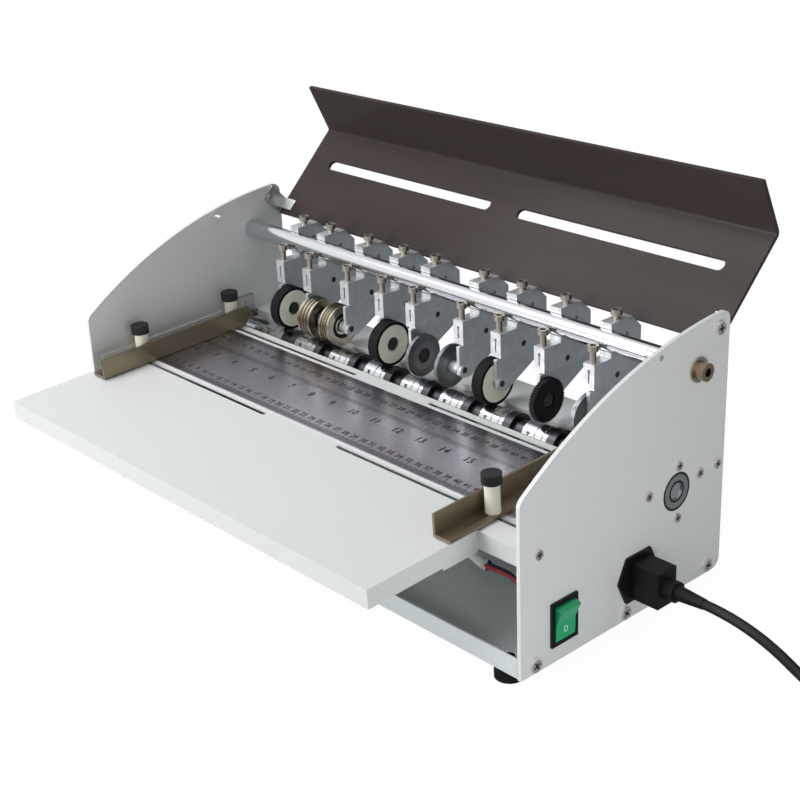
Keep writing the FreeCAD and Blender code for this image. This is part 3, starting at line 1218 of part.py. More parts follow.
def power_inlet():
    """The mains inlet: a six-sided flange with two screws, and a body with a socket."""
    y, z = back("inlet_deep"), up("inlet_high")
    face = f"{RIGHT} + plate_thick"
    corners = [("-inlet_wide/2", "0"), ("-inlet_top/2", "-inlet_tall/2"), ("inlet_top/2", "-inlet_tall/2"),
               ("inlet_wide/2", "0"), ("inlet_top/2", "inlet_tall/2"), ("-inlet_top/2", "inlet_tall/2")]
    body = doc.addObject("PartDesign::Body", "Flange")
    pad = body.newObject("PartDesign::Pad", "Plate")
    pad.Profile = draw(body, "YZ_Plane", corners)
    tie(pad, Length="inlet_flange")
    place(body, face, y, z)
    shell = box(f"{face} - inlet_body_long", back("inlet_deep - inlet_body_wide/2"),
                up("inlet_high - inlet_body_tall/2"), "inlet_body_long", "inlet_body_wide", "inlet_body_tall")
    room = box(f"{face} - inlet_body_long + socket_floor", back("inlet_deep - inlet_body_wide/2 + socket_wall"),
               up("inlet_high - inlet_body_tall/2 + socket_wall"), "inlet_body_long + inlet_flange + overrun",
               "inlet_body_wide - 2*socket_wall", "inlet_body_tall - 2*socket_wall")
    holes = []
    screws = []
    for sign in "+-":
        spot = back(f"inlet_deep {sign} inlet_screw")
        holes.append(drum("x", f"{face} - overrun", spot, z, "inlet_screw_radius + run_gap", "inlet_flange + 2*overrun"))
        screws.append(fuse(drum("x", f"{face} + inlet_flange", spot, z, "inlet_screw_head", "inlet_screw_high"),
                           drum("x", f"{face} - screw_reach", spot, z, "inlet_screw_radius", "screw_reach + inlet_flange")))
    keep("power_inlet", gather(cut(fuse(body, shell), room, *holes), *screws))


def cord_connector():
    """The connector in the inlet: its nose in the socket, its grip, neck and tapered strain relief."""
    y, z = back("inlet_deep"), up("inlet_high")
    start = f"{RIGHT} + plate_thick + inlet_flange"
    nose_wide = "inlet_body_wide - 2*socket_wall - 2*plug_play"
    nose_tall = "inlet_body_tall - 2*socket_wall - 2*plug_play"
    nose = box(f"{start} - socket_long", back(f"inlet_deep - ({nose_wide})/2"), up(f"inlet_high - ({nose_tall})/2"),
               "socket_long + plug_play", nose_wide, nose_tall)
    grip = box(f"{start} + plug_play", back("inlet_deep - grip_wide/2"), up("inlet_high - grip_tall/2"), "grip_long",
               "grip_wide", "grip_tall")
    neck = drum("x", f"{start} + plug_play + grip_long", y, z, "neck_radius", "neck_long")
    relief = doc.addObject("Part::Cone", "Relief")
    relief.Placement = FreeCAD.Placement(FreeCAD.Vector(), TURNS["x"])
    tie(relief, Radius1="relief_radius + seam", Radius2="cord_radius + seam", Height="relief_long")
    place(relief, f"{start} + plug_play + grip_long + neck_long", y, z)
    keep("cord_connector", fuse(nose, grip, neck, relief))


BENDS = []


def rounded_route(points):
    """Straight runs joined by tangent arcs, each as large as its two runs allow."""
    spots = [FreeCAD.Vector(*point) for point in points]
    edges = []
    last = spots[0]
    for before, corner, after in zip(spots, spots[1:], spots[2:]):
        into, out = corner - before, after - corner
        trim = 0.45 * min(into.Length, out.Length)
        half = into.getAngle(out) / 2
        into.normalize()
        out.normalize()
        radius = trim / math.tan(half)
        start, end = corner - into * trim, corner + out * trim
        inward = out - into
        inward.normalize()
        middle = corner + inward * (math.hypot(radius, trim) - radius)
        edges += [Part.LineSegment(last, start).toShape(), Part.Arc(start, middle, end).toShape()]
        last = end
        BENDS.append(radius)
    edges.append(Part.LineSegment(last, spots[-1]).toShape())
    return edges


def tube(edges, radius):
    """A round solid tube along joined edges; its volume is compared with its length."""
    wire = Part.Wire(edges)
    first = edges[0]
    section = Part.Wire(Part.Circle(first.valueAt(first.FirstParameter), first.tangentAt(first.FirstParameter),
                                    radius).toShape())
    solid = wire.makePipeShell([section], True, False)
    ratio = solid.Volume / (math.pi * radius ** 2 * wire.Length)
    if abs(ratio - 1) > 0.01:
        raise ValueError(f"tube volume is off: {ratio:.3f}")
    LENGTHS.append(wire.Length)
    return solid


LENGTHS = []


def feature(name, shape):
    """A sub-part whose shape is made here, from the sheet's sizes and the lead's points."""
    item = doc.addObject("Part::Feature", "Form")
    item.Shape = shape
    keep(name, item)


def coil_edges():
    """The put-away coil: it spirals in on the floor, climbs in its smallest half turn, spirals out on top, and comes
    down in a last quarter turn towards the plug.
    """
    step = size("cord_pitch") / 2
    climb = COIL_SHRINKS.index(max(COIL_SHRINKS))
    start = FreeCAD.Vector(*COIL_START)
    edges = [Part.LineSegment(FreeCAD.Vector(*LEAD_POINTS[-1]), start).toShape()]
    for number, shrink in enumerate(COIL_SHRINKS):
        way = 1 if number % 2 == 0 else -1
        reach = size("coil_radius") - shrink * step
        end = start + FreeCAD.Vector(0, 2 * reach * way, 0)
        if number == climb:
            end = end + FreeCAD.Vector(0, 0, size("cord_pitch"))
        middle = (start + end) / 2
        side = middle + FreeCAD.Vector((start - middle).Length * way, 0, 0)
        edges.append(Part.Arc(start, side, end).toShape())
        start = end
    tail = FreeCAD.Vector(*TAIL_POINTS[0])
    reach = tail.x - start.x
    fall = tail.z - start.z
    turned = start + FreeCAD.Vector(reach, reach, fall)
    across = FreeCAD.Vector(reach, -reach, 0) * (math.sqrt(0.5) - 0.5)
    edges.append(Part.Arc(start, (start + turned) / 2 + across, turned).toShape())
    edges.append(Part.LineSegment(turned, tail).toShape())
    return edges


def least_gap(edges, radius):
    """The least distance between the tube's own turns, from points about a radius apart along its centre line.

    Points nearer to each other along the line than the tube's own bend are left out.
    """
    wire = Part.Wire(edges)
    count = int(wire.Length / radius)
    points = wire.discretize(Number=count)
    skip = int(count * size("coil_radius") / wire.Length)
    least = min(a.distanceToPoint(b) for i, a in enumerate(points) for b in points[i + skip:])
    return least - 2 * radius


def power_cord():
    radius = size("cord_radius")
    lead = tube(rounded_route(LEAD_POINTS), radius)
    tail = tube(rounded_route(TAIL_POINTS), radius)
    feature("power_cord", Part.makeCompound([lead, tail]))
    turns = coil_edges()
    feature("cord_coil", tube(turns, radius))
    print("cord lengths", [round(long, 1) for long in LENGTHS], "bends", [round(bend, 1) for bend in BENDS],
          "gap in the coil", round(least_gap(turns, radius), 2))


def mains_plug():
    """The mains plug at the lead's end, lying on the floor: tapered relief, body and two round pins."""
    x, y, z = (str(number) for number in TAIL_POINTS[-1])
    relief = doc.addObject("Part::Cone", "Relief")
    relief.Placement = FreeCAD.Placement(FreeCAD.Vector(), TURNS["y"])
    tie(relief, Radius1="cord_radius + seam", Radius2="relief_radius + 2*seam", Height="relief_long")
    place(relief, x, y, z)
    body_y = f"{y} + relief_long"
    body = box(f"{x} - plug_wide/2", body_y, f"{z} - plug_deep/2", "plug_wide", "plug_long", "plug_deep")
    soft = doc.addObject("Part::Fillet", "Rounded")
    doc.recompute()
    soft.Base = body
    soft.Edges = [(number, size("plug_round"), size("plug_round")) for number in range(1, 13)]
    pins = [drum("y", f"{x} {sign} mains_pin_half", f"{body_y} + plug_long - overrun", z, "mains_pin_radius",
                 "pin_long + overrun") for sign in "+-"]
    keep("mains_plug", fuse(soft, relief, *pins))


def wiring():
    """The switch's wires in the front bay: a sleeve, then three wires that part to the switch's back."""
    def spot(point, side=0.0, high=0.0):
        return (point[0], point[1] - size("mid_to_front") + side, point[2] + size("foot_high") + high)

    solids = [tube(rounded_route([spot(point) for point in SLEEVE_POINTS]), size("wire_sleeve_radius"))]
    for side, high, fan in WIRE_spreads:
        lifts = (high, high, high + fan * WIRE_rise_share, fan)
        points = [spot(point, 1.3 * side, lift) for point, lift in zip(WIRE_POINTS, lifts)]
        solids.append(tube(rounded_route(points), size("wire_radius")))
    feature("wiring", Part.makeCompound(solids))


fill_sheet()
side_plates()
base_pan()
rubber_feet()
feed_table()
front_tray()
ruler_plate()
rear_table()
guides()
arm_rod()
rod_bolts()
drive_shaft()
shaft_bearings()
shaft_rings()
motor_pulley()
drive_motor()
drive_belt()
arms()
lid_panel()
lid_brackets()
plate_screws()
switch()
power_inlet()
cord_connector()
power_cord()
mains_plug()
wiring()
doc.recompute()

for item in doc.Objects:
    if "Invalid" in item.State or "Error" in item.State:
        raise ValueError(f"{item.Name} ({item.Label}) did not build: {item.State}")

os.makedirs("parts", exist_ok=True)
whole = FreeCAD.BoundBox()
for name, item in PARTS.items():
    shape = item.Shape
    if shape.isNull() or not shape.isValid() or not shape.Solids:
        raise ValueError(f"{name} is not a valid solid")
    shape.exportStep(f"parts/{name}.step")
    box_ = shape.optimalBoundingBox()
    if name not in ("power_cord", "cord_coil", "mains_plug", "cord_connector"):
        whole.add(box_)
    print(f"{name:18s} solids {len(shape.Solids):3d} volume {shape.Volume:10.1f} "
          f"x {box_.XMin:7.2f} {box_.XMax:7.2f} y {box_.YMin:7.2f} {box_.YMax:7.2f} z {box_.ZMin:6.2f} {box_.ZMax:6.2f}")
print("whole without the lead", whole, "sub-parts", len(PARTS))
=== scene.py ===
import math

import bmesh
import bpy
from mathutils import Matrix, Vector

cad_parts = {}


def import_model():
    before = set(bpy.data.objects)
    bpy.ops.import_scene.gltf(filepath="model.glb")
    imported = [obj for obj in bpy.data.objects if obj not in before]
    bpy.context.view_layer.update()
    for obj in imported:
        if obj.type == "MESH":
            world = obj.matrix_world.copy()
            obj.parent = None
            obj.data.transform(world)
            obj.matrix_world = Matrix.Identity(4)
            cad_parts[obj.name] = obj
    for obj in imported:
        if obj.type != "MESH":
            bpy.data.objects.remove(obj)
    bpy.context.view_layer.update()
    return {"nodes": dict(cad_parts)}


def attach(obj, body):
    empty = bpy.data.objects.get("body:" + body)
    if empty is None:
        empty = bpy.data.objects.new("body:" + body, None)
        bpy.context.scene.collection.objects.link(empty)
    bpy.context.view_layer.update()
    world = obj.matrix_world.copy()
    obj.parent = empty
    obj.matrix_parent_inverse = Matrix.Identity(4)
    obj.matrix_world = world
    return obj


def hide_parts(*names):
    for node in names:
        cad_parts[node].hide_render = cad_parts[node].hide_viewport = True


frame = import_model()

NODES = frame["nodes"]

# Sizes that the CAD part has too, in metres.
GAP = 0.489
PLATE = 0.003
MID = 0.09714
FOOT = 0.012
DESK_HIGH = 0.0809
SLOPE = math.radians(2.3)
RULER_THICK = 0.0008
WHEEL_KINDS = ("rubber", "creaser", "creaser", "rubber", "blade", "blade", "rubber", "toothed", "blade")
WHEEL_AT = (0.1606 - MID, 0.1114 + FOOT)
SHAFT_AT = (0.1573 - MID, 0.080 + FOOT)
PIVOT_AT = (0.1846 - MID, 0.1375 + FOOT)
ROD_AT = (0.176 - MID, 0.1654 + FOOT)
LID_PIVOT = (0.1975, 0.1895)
KNOB_SLEEVE = 0.0255
TYRE_INNER = 0.01605
ARM_SCREWS = ((0.1635, 0.1638), (0.1888, 0.1902))
RING_PITCH = GAP / 11
COLLAR_SHARE = 0.56


def desk(x, along, over):
    """A point of the sloping feed surface: along it from the plates' front edges, and over it."""
    return Vector((x, along * math.cos(SLOPE) - over * math.sin(SLOPE) - MID,
                   DESK_HIGH + FOOT + along * math.sin(SLOPE) + over * math.cos(SLOPE)))


# Materials


def linear(hex_colour):
    """An sRGB hex colour as the linear colour that Blender mixes."""
    parts = [int(hex_colour[i:i + 2], 16) / 255 for i in (1, 3, 5)]
    return [part / 12.92 if part <= 0.04045 else ((part + 0.055) / 1.055) ** 2.4 for part in parts] + [1.0]


class Tree:
    """A material's node tree with short calls for adding nodes."""

    def __init__(self, name):
        self.material = bpy.data.materials.new(name)
        self.material.use_nodes = True
        self.tree = self.material.node_tree
        self.shader = self.tree.nodes["Principled BSDF"]
        coords = self.add("ShaderNodeTexCoord")
        self.place = coords.outputs["Object"]

    def add(self, kind, settings=None, **inputs):
        node = self.tree.nodes.new(kind)
        for key, value in (settings or {}).items():
            setattr(node, key, value)
        for key, value in inputs.items():
            self.feed(node.inputs[key.replace("_", " ")], value)
        return node

    def feed(self, socket, value):
        if isinstance(value, bpy.types.NodeSocket):
            self.tree.links.new(value, socket)
        else:
            socket.default_value = value

    def maths(self, operation, first, second=0.0):
        node = self.tree.nodes.new("ShaderNodeMath")
        node.operation = operation
        self.feed(node.inputs[0], first)
        self.feed(node.inputs[1], second)
        return node.outputs[0]

    def noise(self, scale, detail=4.0, stretch=None):
        """Noise with features about 1/scale metres across, stretched along an axis if asked."""
        place = self.place
        if stretch:
            mapping = self.add("ShaderNodeMapping", Vector=place, Scale=stretch)
            place = mapping.outputs[0]
        return self.add("ShaderNodeTexNoise", Vector=place, Scale=scale, Detail=detail).outputs["Fac"]

    def ramp(self, factor, stops, steps=False):
        node = self.add("ShaderNodeValToRGB", Fac=factor)
        if steps:
            node.color_ramp.interpolation = "CONSTANT"
        elements = node.color_ramp.elements
        elements[0].position, elements[0].color = stops[0]
        elements[1].position, elements[1].color = stops[-1]
        for position, colour in stops[1:-1]:
            extra = elements.new(position)
            extra.color = colour
        return node.outputs["Color"]

    def mix(self, factor, first, second):
        node = self.tree.nodes.new("ShaderNodeMix")
        node.data_type = "RGBA"
        self.feed(node.inputs[0], factor)
        self.feed(node.inputs[6], first)
        self.feed(node.inputs[7], second)
        return node.outputs[2]

    def bump(self, height, strength, distance=0.0002):
        node = self.add("ShaderNodeBump", Strength=strength, Distance=distance, Height=height)
        self.feed(self.shader.inputs["Normal"], node.outputs["Normal"])

    def set(self, **inputs):
        for key, value in inputs.items():
            self.feed(self.shader.inputs[key.replace("_", " ")], value)
        return self

    def split(self):
        """The place's three parts."""
        node = self.add("ShaderNodeSeparateXYZ", Vector=self.place)
        return node.outputs


def edge_highlight(tree, colour, highlight_colour, amount=0.5):
    """Painted highlight: mix a colour towards a lighter one along sharp edges, where light catches them."""
    geometry = tree.add("ShaderNodeNewGeometry")
    mask = tree.ramp(geometry.outputs["Pointiness"], [(0.505, (0, 0, 0, 1)), (0.56, (1, 1, 1, 1))])
    return tree.mix(tree.maths("MULTIPLY", mask, amount), colour, highlight_colour)


def paint(name, hex_colour, speck=0.13):
    """Powder coat: fine orange-peel bump, faint speckle, slightly uneven gloss."""
    tree = Tree(name)
    base = linear(hex_colour)
    dark = [part * (1 - speck) for part in base[:3]] + [1]
    grain = tree.noise(1100, 3)
    cloud = tree.noise(9, 3)
    specks = tree.ramp(grain, [(0.38, (0, 0, 0, 1)), (0.62, (1, 1, 1, 1))])
    colour = tree.mix(specks, base, dark)
    colour = tree.mix(tree.maths("MULTIPLY", cloud, 0.12), colour, [part * 0.9 for part in base[:3]] + [1])
    # Sharp edges get a painted highlight in near white.
    tree.set(Base_Color=edge_highlight(tree, colour, linear("#f4f5f5"), 0.35), Specular_IOR_Level=0.45)
    rough = tree.maths("ADD", tree.maths("MULTIPLY", cloud, 0.14), 0.36)
    tree.set(Roughness=rough)
    tree.bump(grain, 0.25, 0.00012)
    return tree.material


def metal(name, hex_colour, rough=0.25, brush=None, tint=None, cloud_scale=60, uneven=0.16):
    """Bare or plated metal: brushed along one axis where asked, with uneven tint and gloss."""
    tree = Tree(name)
    base = linear(hex_colour)
    stretch = {"x": (0.03, 1, 1), "y": (1, 0.03, 1), "z": (1, 1, 0.03), None: None}[brush]
    fine = tree.noise(2400, 3, stretch)
    cloud = tree.noise(cloud_scale, 5)
    colour = tree.mix(tree.maths("MULTIPLY", cloud, 0.8), base, linear(tint) if tint else
                      [part * 0.82 for part in base[:3]] + [1])
    # Sharp edges get a painted highlight, lighter than the base.
    colour = edge_highlight(tree, colour, [min(1, part * 1.35) for part in base[:3]] + [1], 0.6)
    gloss = tree.maths("ADD", tree.maths("MULTIPLY", fine, uneven), rough - uneven / 2)
    gloss = tree.maths("ADD", gloss, tree.maths("MULTIPLY", cloud, 0.1))
    tree.set(Base_Color=colour, Metallic=1.0, Roughness=gloss)
    tree.bump(fine, 0.12 if brush else 0.06, 0.00008)
    return tree.material


def plastic(name, hex_colour, rough=0.45, grain=1500, grainy=0.15, sheen=0.5):
    """Moulded plastic or rubber with a fine grain."""
    tree = Tree(name)
    base = linear(hex_colour)
    fine = tree.noise(grain, 3)
    cloud = tree.noise(40, 3)
    lighter = [min(1, part * 1.25 + 0.004) for part in base[:3]] + [1]
    colour = tree.mix(tree.maths("MULTIPLY", cloud, 0.5), base, lighter)
    tree.set(Base_Color=colour, Roughness=tree.maths("ADD", tree.maths("MULTIPLY", fine, 0.14), rough - 0.07),
             Specular_IOR_Level=sheen)
    tree.bump(fine, grainy, 0.0001)
    return tree.material


def two_tone(name, mask_of, near, far):
    """One material whose parts differ by place: the two are mixed as shaders by a mask."""
    tree = Tree(name)
    mask = mask_of(tree)
    shaders = []
    for hex_colour, metallic, rough in (near, far):
        shader = tree.add("ShaderNodeBsdfPrincipled")
        base = linear(hex_colour)
        cloud = tree.noise(90, 4)
        fine = tree.noise(1800, 3)
        colour = tree.mix(tree.maths("MULTIPLY", cloud, 0.6), base, [part * 0.78 for part in base[:3]] + [1])
        tree.feed(shader.inputs["Base Color"], colour)
        tree.feed(shader.inputs["Metallic"], metallic)
        gloss = tree.maths("ADD", tree.maths("MULTIPLY", fine, 0.12), rough - 0.06)
        tree.feed(shader.inputs["Roughness"], gloss)
        bump = tree.add("ShaderNodeBump", Strength=0.1, Distance=0.0001, Height=fine)
        tree.feed(shader.inputs["Normal"], bump.outputs["Normal"])
        shaders.append(shader.outputs[0])
    mix = tree.add("ShaderNodeMixShader")
    tree.feed(mix.inputs[0], mask)
    tree.feed(mix.inputs[1], shaders[0])
    tree.feed(mix.inputs[2], shaders[1])
    tree.feed(tree.tree.nodes["Material Output"].inputs["Surface"], mix.outputs[0])
    tree.tree.nodes.remove(tree.shader)
    return tree.material


def over_desk(height):
    """A mask that is 1 higher than a height over the feed surface."""
    def mask(tree):
        x, y, z = tree.split()
        level = tree.maths("ADD", tree.maths("MULTIPLY", z, math.cos(SLOPE)),
                           tree.maths("MULTIPLY", tree.maths("ADD", y, MID), -math.sin(SLOPE)))
        return tree.maths("GREATER_THAN", level, (DESK_HIGH + FOOT) * math.cos(SLOPE) + height)
    return mask


def ring_set(tree):
    """A mask that is 1 on the dark discs and spacers between the bright collars."""
    x, y, z = tree.split()
    turn = tree.maths("FRACT", tree.maths("DIVIDE", tree.maths("ADD", x, GAP / 2), RING_PITCH))
    return tree.maths("GREATER_THAN", turn, COLLAR_SHARE)


def radius_of(tree, centre):
    """The distance from an axis along X."""
    x, y, z = tree.split()
    across = tree.maths("SUBTRACT", y, centre[0])
    over = tree.maths("SUBTRACT", z, centre[1])
    square = tree.maths("ADD", tree.maths("MULTIPLY", across, across), tree.maths("MULTIPLY", over, over))
    return tree.maths("POWER", square, 0.5)


def turned(name, centre, bands, rough_noise=0.14):
    """A turned piece: bands of colour, metal and gloss by the distance from its axis."""
    tree = Tree(name)
    reach = 0.04
    share = tree.maths("DIVIDE", radius_of(tree, centre), reach)
    colours = [(start / reach, linear(hex_colour)) for start, hex_colour, metallic, rough in bands]
    looks = [(start / reach, (metallic, rough, 0, 1)) for start, hex_colour, metallic, rough in bands]
    colour = tree.ramp(share, colours, True)
    look = tree.add("ShaderNodeSeparateColor", Color=tree.ramp(share, looks, True)).outputs
    fine = tree.noise(2200, 3)
    cloud = tree.noise(150, 4)
    dull = tree.mix(1.0, colour, (0.8, 0.8, 0.8, 1))
    dull.node.blend_type = "MULTIPLY"
    colour = tree.mix(tree.maths("MULTIPLY", cloud, 0.9), colour, dull)
    uneven = tree.maths("MULTIPLY", tree.maths("SUBTRACT", fine, 0.5), rough_noise)
    rough = tree.maths("ADD", look[1], uneven)
    tree.set(Base_Color=colour, Metallic=look[0], Roughness=rough, Specular_IOR_Level=0.2)
    tree.bump(fine, 0.1, 0.0001)
    return tree.material


def galvanised(name, hex_colour, dark_spots, screws=()):
    """Plated sheet: mottled, with painted shade on faces along X and a painted highlight on sharp edges, dark
    spots at the pins, and yellow-plated screws with painted shade in their slots, by place.
    """
    tree = Tree(name)
    base = linear(hex_colour)
    geometry = tree.add("ShaderNodeNewGeometry")
    facing = tree.add("ShaderNodeSeparateXYZ", Vector=geometry.outputs["Normal"]).outputs[0]
    side = tree.maths("GREATER_THAN", tree.maths("ABSOLUTE", facing), 0.7)
    cloud = tree.noise(160, 5)
    fine = tree.noise(1500, 3)
    # Painted shade: faces that point along X are darkened towards a cooler grey.
    side_shade = [base[0] * 0.52, base[1] * 0.6, base[2] * 0.66, 1]
    colour = tree.mix(tree.maths("MULTIPLY", side, 0.85), base, side_shade)
    spangle = tree.ramp(cloud, [(0.34, (0, 0, 0, 1)), (0.66, (1, 1, 1, 1))])
    colour = tree.mix(tree.maths("MULTIPLY", spangle, 0.62), colour, [part * 0.42 for part in base[:3]] + [1])
    # Sharp edges get a painted highlight in near white.
    colour = edge_highlight(tree, colour, (0.95, 0.96, 0.97, 1), 0.3)
    metallic = 0.72
    rough = tree.maths("ADD", tree.maths("MULTIPLY", fine, 0.16), 0.3)
    x, y, z = tree.split()
    for deep, low in screws:
        away = tree.maths("ABSOLUTE", tree.maths("SUBTRACT", y, deep - MID))
        inside = tree.maths("LESS_THAN", away, 0.0046)
        head = tree.maths("MULTIPLY", inside, tree.maths("GREATER_THAN", z, low))
        colour = tree.mix(head, colour, linear("#a39c90"))
        # Painted shade: a dark line along each screw head's slot.
        flat = tree.maths("GREATER_THAN", z, low + 0.0009)
        slot_shade = tree.maths("MULTIPLY", tree.maths("LESS_THAN", away, 0.0007), flat)
        colour = tree.mix(tree.maths("MULTIPLY", slot_shade, 0.8), colour, linear("#2a2620"))
    # Dark, less metallic round spots at the pins' places.
    for radius, centre in dark_spots:
        spot = tree.maths("LESS_THAN", radius_of(tree, centre), radius)
        colour = tree.mix(spot, colour, linear("#17181a"))
        metallic = tree.maths("SUBTRACT", metallic, tree.maths("MULTIPLY", spot, 0.6))
    tree.set(Base_Color=colour, Metallic=metallic, Roughness=rough)
    tree.bump(cloud, 0.12, 0.0002)
    return tree.material


def wire_insulation(name):
    """Wires: greenish grey at the back, a white sleeve, then red, blue and black side by side."""
    tree = Tree(name)
    x, y, z = tree.split()
    back_start, sleeve_end, switch = 0.10, 0.184, 0.224
    share = tree.maths("DIVIDE", tree.maths("SUBTRACT", x, back_start), sleeve_end - back_start)
    sleeve = tree.ramp(share, [(0.0, linear("#7b857c")), (0.46, linear("#e6e6e2"))], True)
    share = tree.maths("DIVIDE", tree.maths("SUBTRACT", x, sleeve_end), switch - sleeve_end)
    stops = [(0.0, 0.34), (0.55, 0.34), (0.82, 0.38), (0.96, 0.407)]
    middle = tree.ramp(share, [(place, (level, level, level, 1)) for place, level in stops])
    offset = tree.maths("SUBTRACT", tree.maths("ADD", y, MID), tree.maths("MULTIPLY", middle, 0.1))
    across = tree.maths("DIVIDE", tree.maths("ADD", offset, 0.003), 0.006)
    red, blue, black = linear("#a02a20"), linear("#2c4f96"), linear("#141416")
    strands = tree.ramp(across, [(0.0, red), (0.37, blue), (0.63, black)], True)
    fine = tree.noise(1800, 3)
    tree.set(Base_Color=tree.mix(tree.maths("GREATER_THAN", x, sleeve_end), sleeve, strands),
             Roughness=tree.maths("ADD", tree.maths("MULTIPLY", fine, 0.14), 0.38))
    tree.bump(fine, 0.12, 0.0001)
    return tree.material


def smoked(name):
    """The lid's sheet: dark, seen through a little, glossy, with faint streaks."""
    tree = Tree(name)
    clear = tree.add("ShaderNodeBsdfTransparent", Color=linear("#7a726f"))
    streaks = tree.noise(26, 4, (0.15, 1, 1))
    tint = tree.mix(streaks, linear("#352e2c"), linear("#4a4240"))
    gloss = tree.maths("ADD", tree.maths("MULTIPLY", tree.noise(30, 3), 0.1), 0.12)
    tree.set(Base_Color=tint, Roughness=gloss, Specular_IOR_Level=0.08)
    mix = tree.add("ShaderNodeMixShader", Fac=0.86)
    tree.feed(mix.inputs[1], clear.outputs[0])
    tree.feed(mix.inputs[2], tree.shader.outputs[0])
    tree.feed(tree.tree.nodes["Material Output"].inputs["Surface"], mix.outputs[0])
    return tree.material


WHITE_PAINT = paint("white_paint", "#c9ccca")
# Painted shade: the pan has the plates' white paint; this darker, bluer copy stands in for the shade in the
# bay under the table.
SHADED_PAN_PAINT = paint("shaded_pan_paint", "#b6c3c5")
RULER_METAL = metal("ruler_metal", "#c2bdc5", 0.2, "x", "#a6a1aa", 25, 0.1)
GUIDE_METAL = metal("guide_metal", "#857b68", 0.34, "y", "#5e5748", 30)
ROD_CHROME = metal("rod_chrome", "#c6c8ca", 0.09, "x", "#a9abae", 40, 0.06)
ARM_ZINC = galvanised("arm_zinc", "#dfe3e4", [(0.0024, PIVOT_AT)], ARM_SCREWS)
LEVER_WIDE = galvanised("lever_wide", "#cfd4d6", [(0.0051, WHEEL_AT)])
LEVER_ZINC = galvanised("lever_zinc", "#cfd4d6", [(0.0026, WHEEL_AT)])
BRACKET_ZINC = galvanised("bracket_zinc", "#c4c9c0", [(0.0028, (LID_PIVOT[0] - MID, LID_PIVOT[1] + FOOT))])
SCREW_ZINC = metal("screw_zinc", "#efebe2", 0.22, None, "#bdb5a6", 500)
# The bolts' dark centre is painted shade for the socket recess in each head.
ROD_BOLTS = turned("rod_bolts", ROD_AT, [(0, "#17181a", 0.2, 0.5), (0.0031, "#b39f88", 1.0, 0.3),
                                         (0.0066, "#c7b9a6", 1.0, 0.26)])
BEARING_BANDS = [(0, "#b4b5b4", 1.0, 0.3), (0.0065, "#3a3b3c", 0.8, 0.4), (0.008, "#c2c3c2", 1.0, 0.28),
                 (0.0125, "#4a4b4c", 0.8, 0.4), (0.01426, "#b6b7b6", 1.0, 0.32)]
BEARING_STEEL = turned("bearing_steel", SHAFT_AT, BEARING_BANDS)
BLADE_STEEL = turned("blade_steel", WHEEL_AT, [(0, "#101011", 0.3, 0.5), (0.0028, "#8b8d8f", 1.0, 0.4),
                                               (0.0112, "#77797c", 1.0, 0.36)])
TOOTHED_STEEL = turned("toothed_steel", WHEEL_AT, [(0, "#1b1b1c", 0.5, 0.45), (0.0044, "#c3c3c0", 1.0, 0.25),
                                                   (0.0058, "#1f2022", 0.7, 0.42)])
TOOL_STEEL = turned("tool_steel", WHEEL_AT, [(0, "#111112", 0.2, 0.5), (0.0055, "#e2ddd0", 1.0, 0.2),
                                             (0.0075, "#26262a", 0.6, 0.4), (0.0105, "#c9c2b2", 1.0, 0.22)])
BLACK_PLASTIC = plastic("black_plastic", "#050507", 0.5, sheen=0.3)
GREEN_PLASTIC = plastic("green_plastic", "#0fa068", 0.2, 400, 0.03, 0.7)
RUBBER = plastic("rubber", "#0a0a0b", 0.7, 1800, 0.3, 0.2)
MOTOR_PAINT = plastic("motor_paint", "#2f3135", 0.5)
LID_SHEET = smoked("lid_sheet")
CORD_JACKET = plastic("cord_jacket", "#0d0d0e", 0.5, 900, 0.1, 0.35)
INK = plastic("ink", "#1b1c20", 0.6)
WHITE_INK = plastic("white_ink", "#e9ece6", 0.5)
# Painted shade for the screws' cross recesses.
RECESS_SHADE = plastic("painted_recess_shade", "#1c1a18", 0.6)
RUBBER_WHEEL = turned("rubber_wheel", WHEEL_AT, [(0, "#151516", 0.1, 0.5), (0.0050, "#feffe8", 0.0, 0.5),
                                                 (TYRE_INNER, "#050506", 0.0, 0.75)])
RING_STEEL = two_tone("ring_steel", ring_set, ("#cfd1d3", 1.0, 0.2), ("#4a4b4e", 1.0, 0.32))
KNOB = two_tone("knob", over_desk(KNOB_SLEEVE), ("#f3efdd", 0.0, 0.4), ("#060607", 0.0, 0.5))
WIRES = wire_insulation("wires")


def dress(material, *names):
    for name in names:
        item = NODES[name]
        item.data.materials.clear()
        item.data.materials.append(material)


dress(WHITE_PAINT, "left_side_plate", "right_side_plate", "feed_table", "front_tray", "rear_table")
dress(SHADED_PAN_PAINT, "base_pan")
dress(RULER_METAL, "ruler_plate")
dress(GUIDE_METAL, "left_guide", "right_guide")
dress(ROD_CHROME, "arm_rod", "drive_shaft")
dress(RING_STEEL, "shaft_rings")
dress(SCREW_ZINC, "plate_screws", "motor_pulley")
dress(ROD_BOLTS, "rod_bolts")
dress(BEARING_STEEL, "shaft_bearings")
dress(BRACKET_ZINC, "lid_brackets")
dress(ARM_ZINC, *(f"arm_{n}_holder" for n in range(1, 10)))
WHEEL_LOOKS = {"rubber": RUBBER_WHEEL, "creaser": TOOL_STEEL, "blade": BLADE_STEEL, "toothed": TOOTHED_STEEL}
WHEEL_OUTSIDE = (1, 2, 4, 5, 8)
for number, kind in enumerate(WHEEL_KINDS, start=1):
    dress(WHEEL_LOOKS[kind], f"arm_{number}_wheel")
    dress(LEVER_WIDE if number in WHEEL_OUTSIDE else LEVER_ZINC, f"arm_{number}_lever")
dress(KNOB, "left_front_knob", "left_back_knob", "right_front_knob", "right_back_knob")
dress(LID_SHEET, "lid_panel")
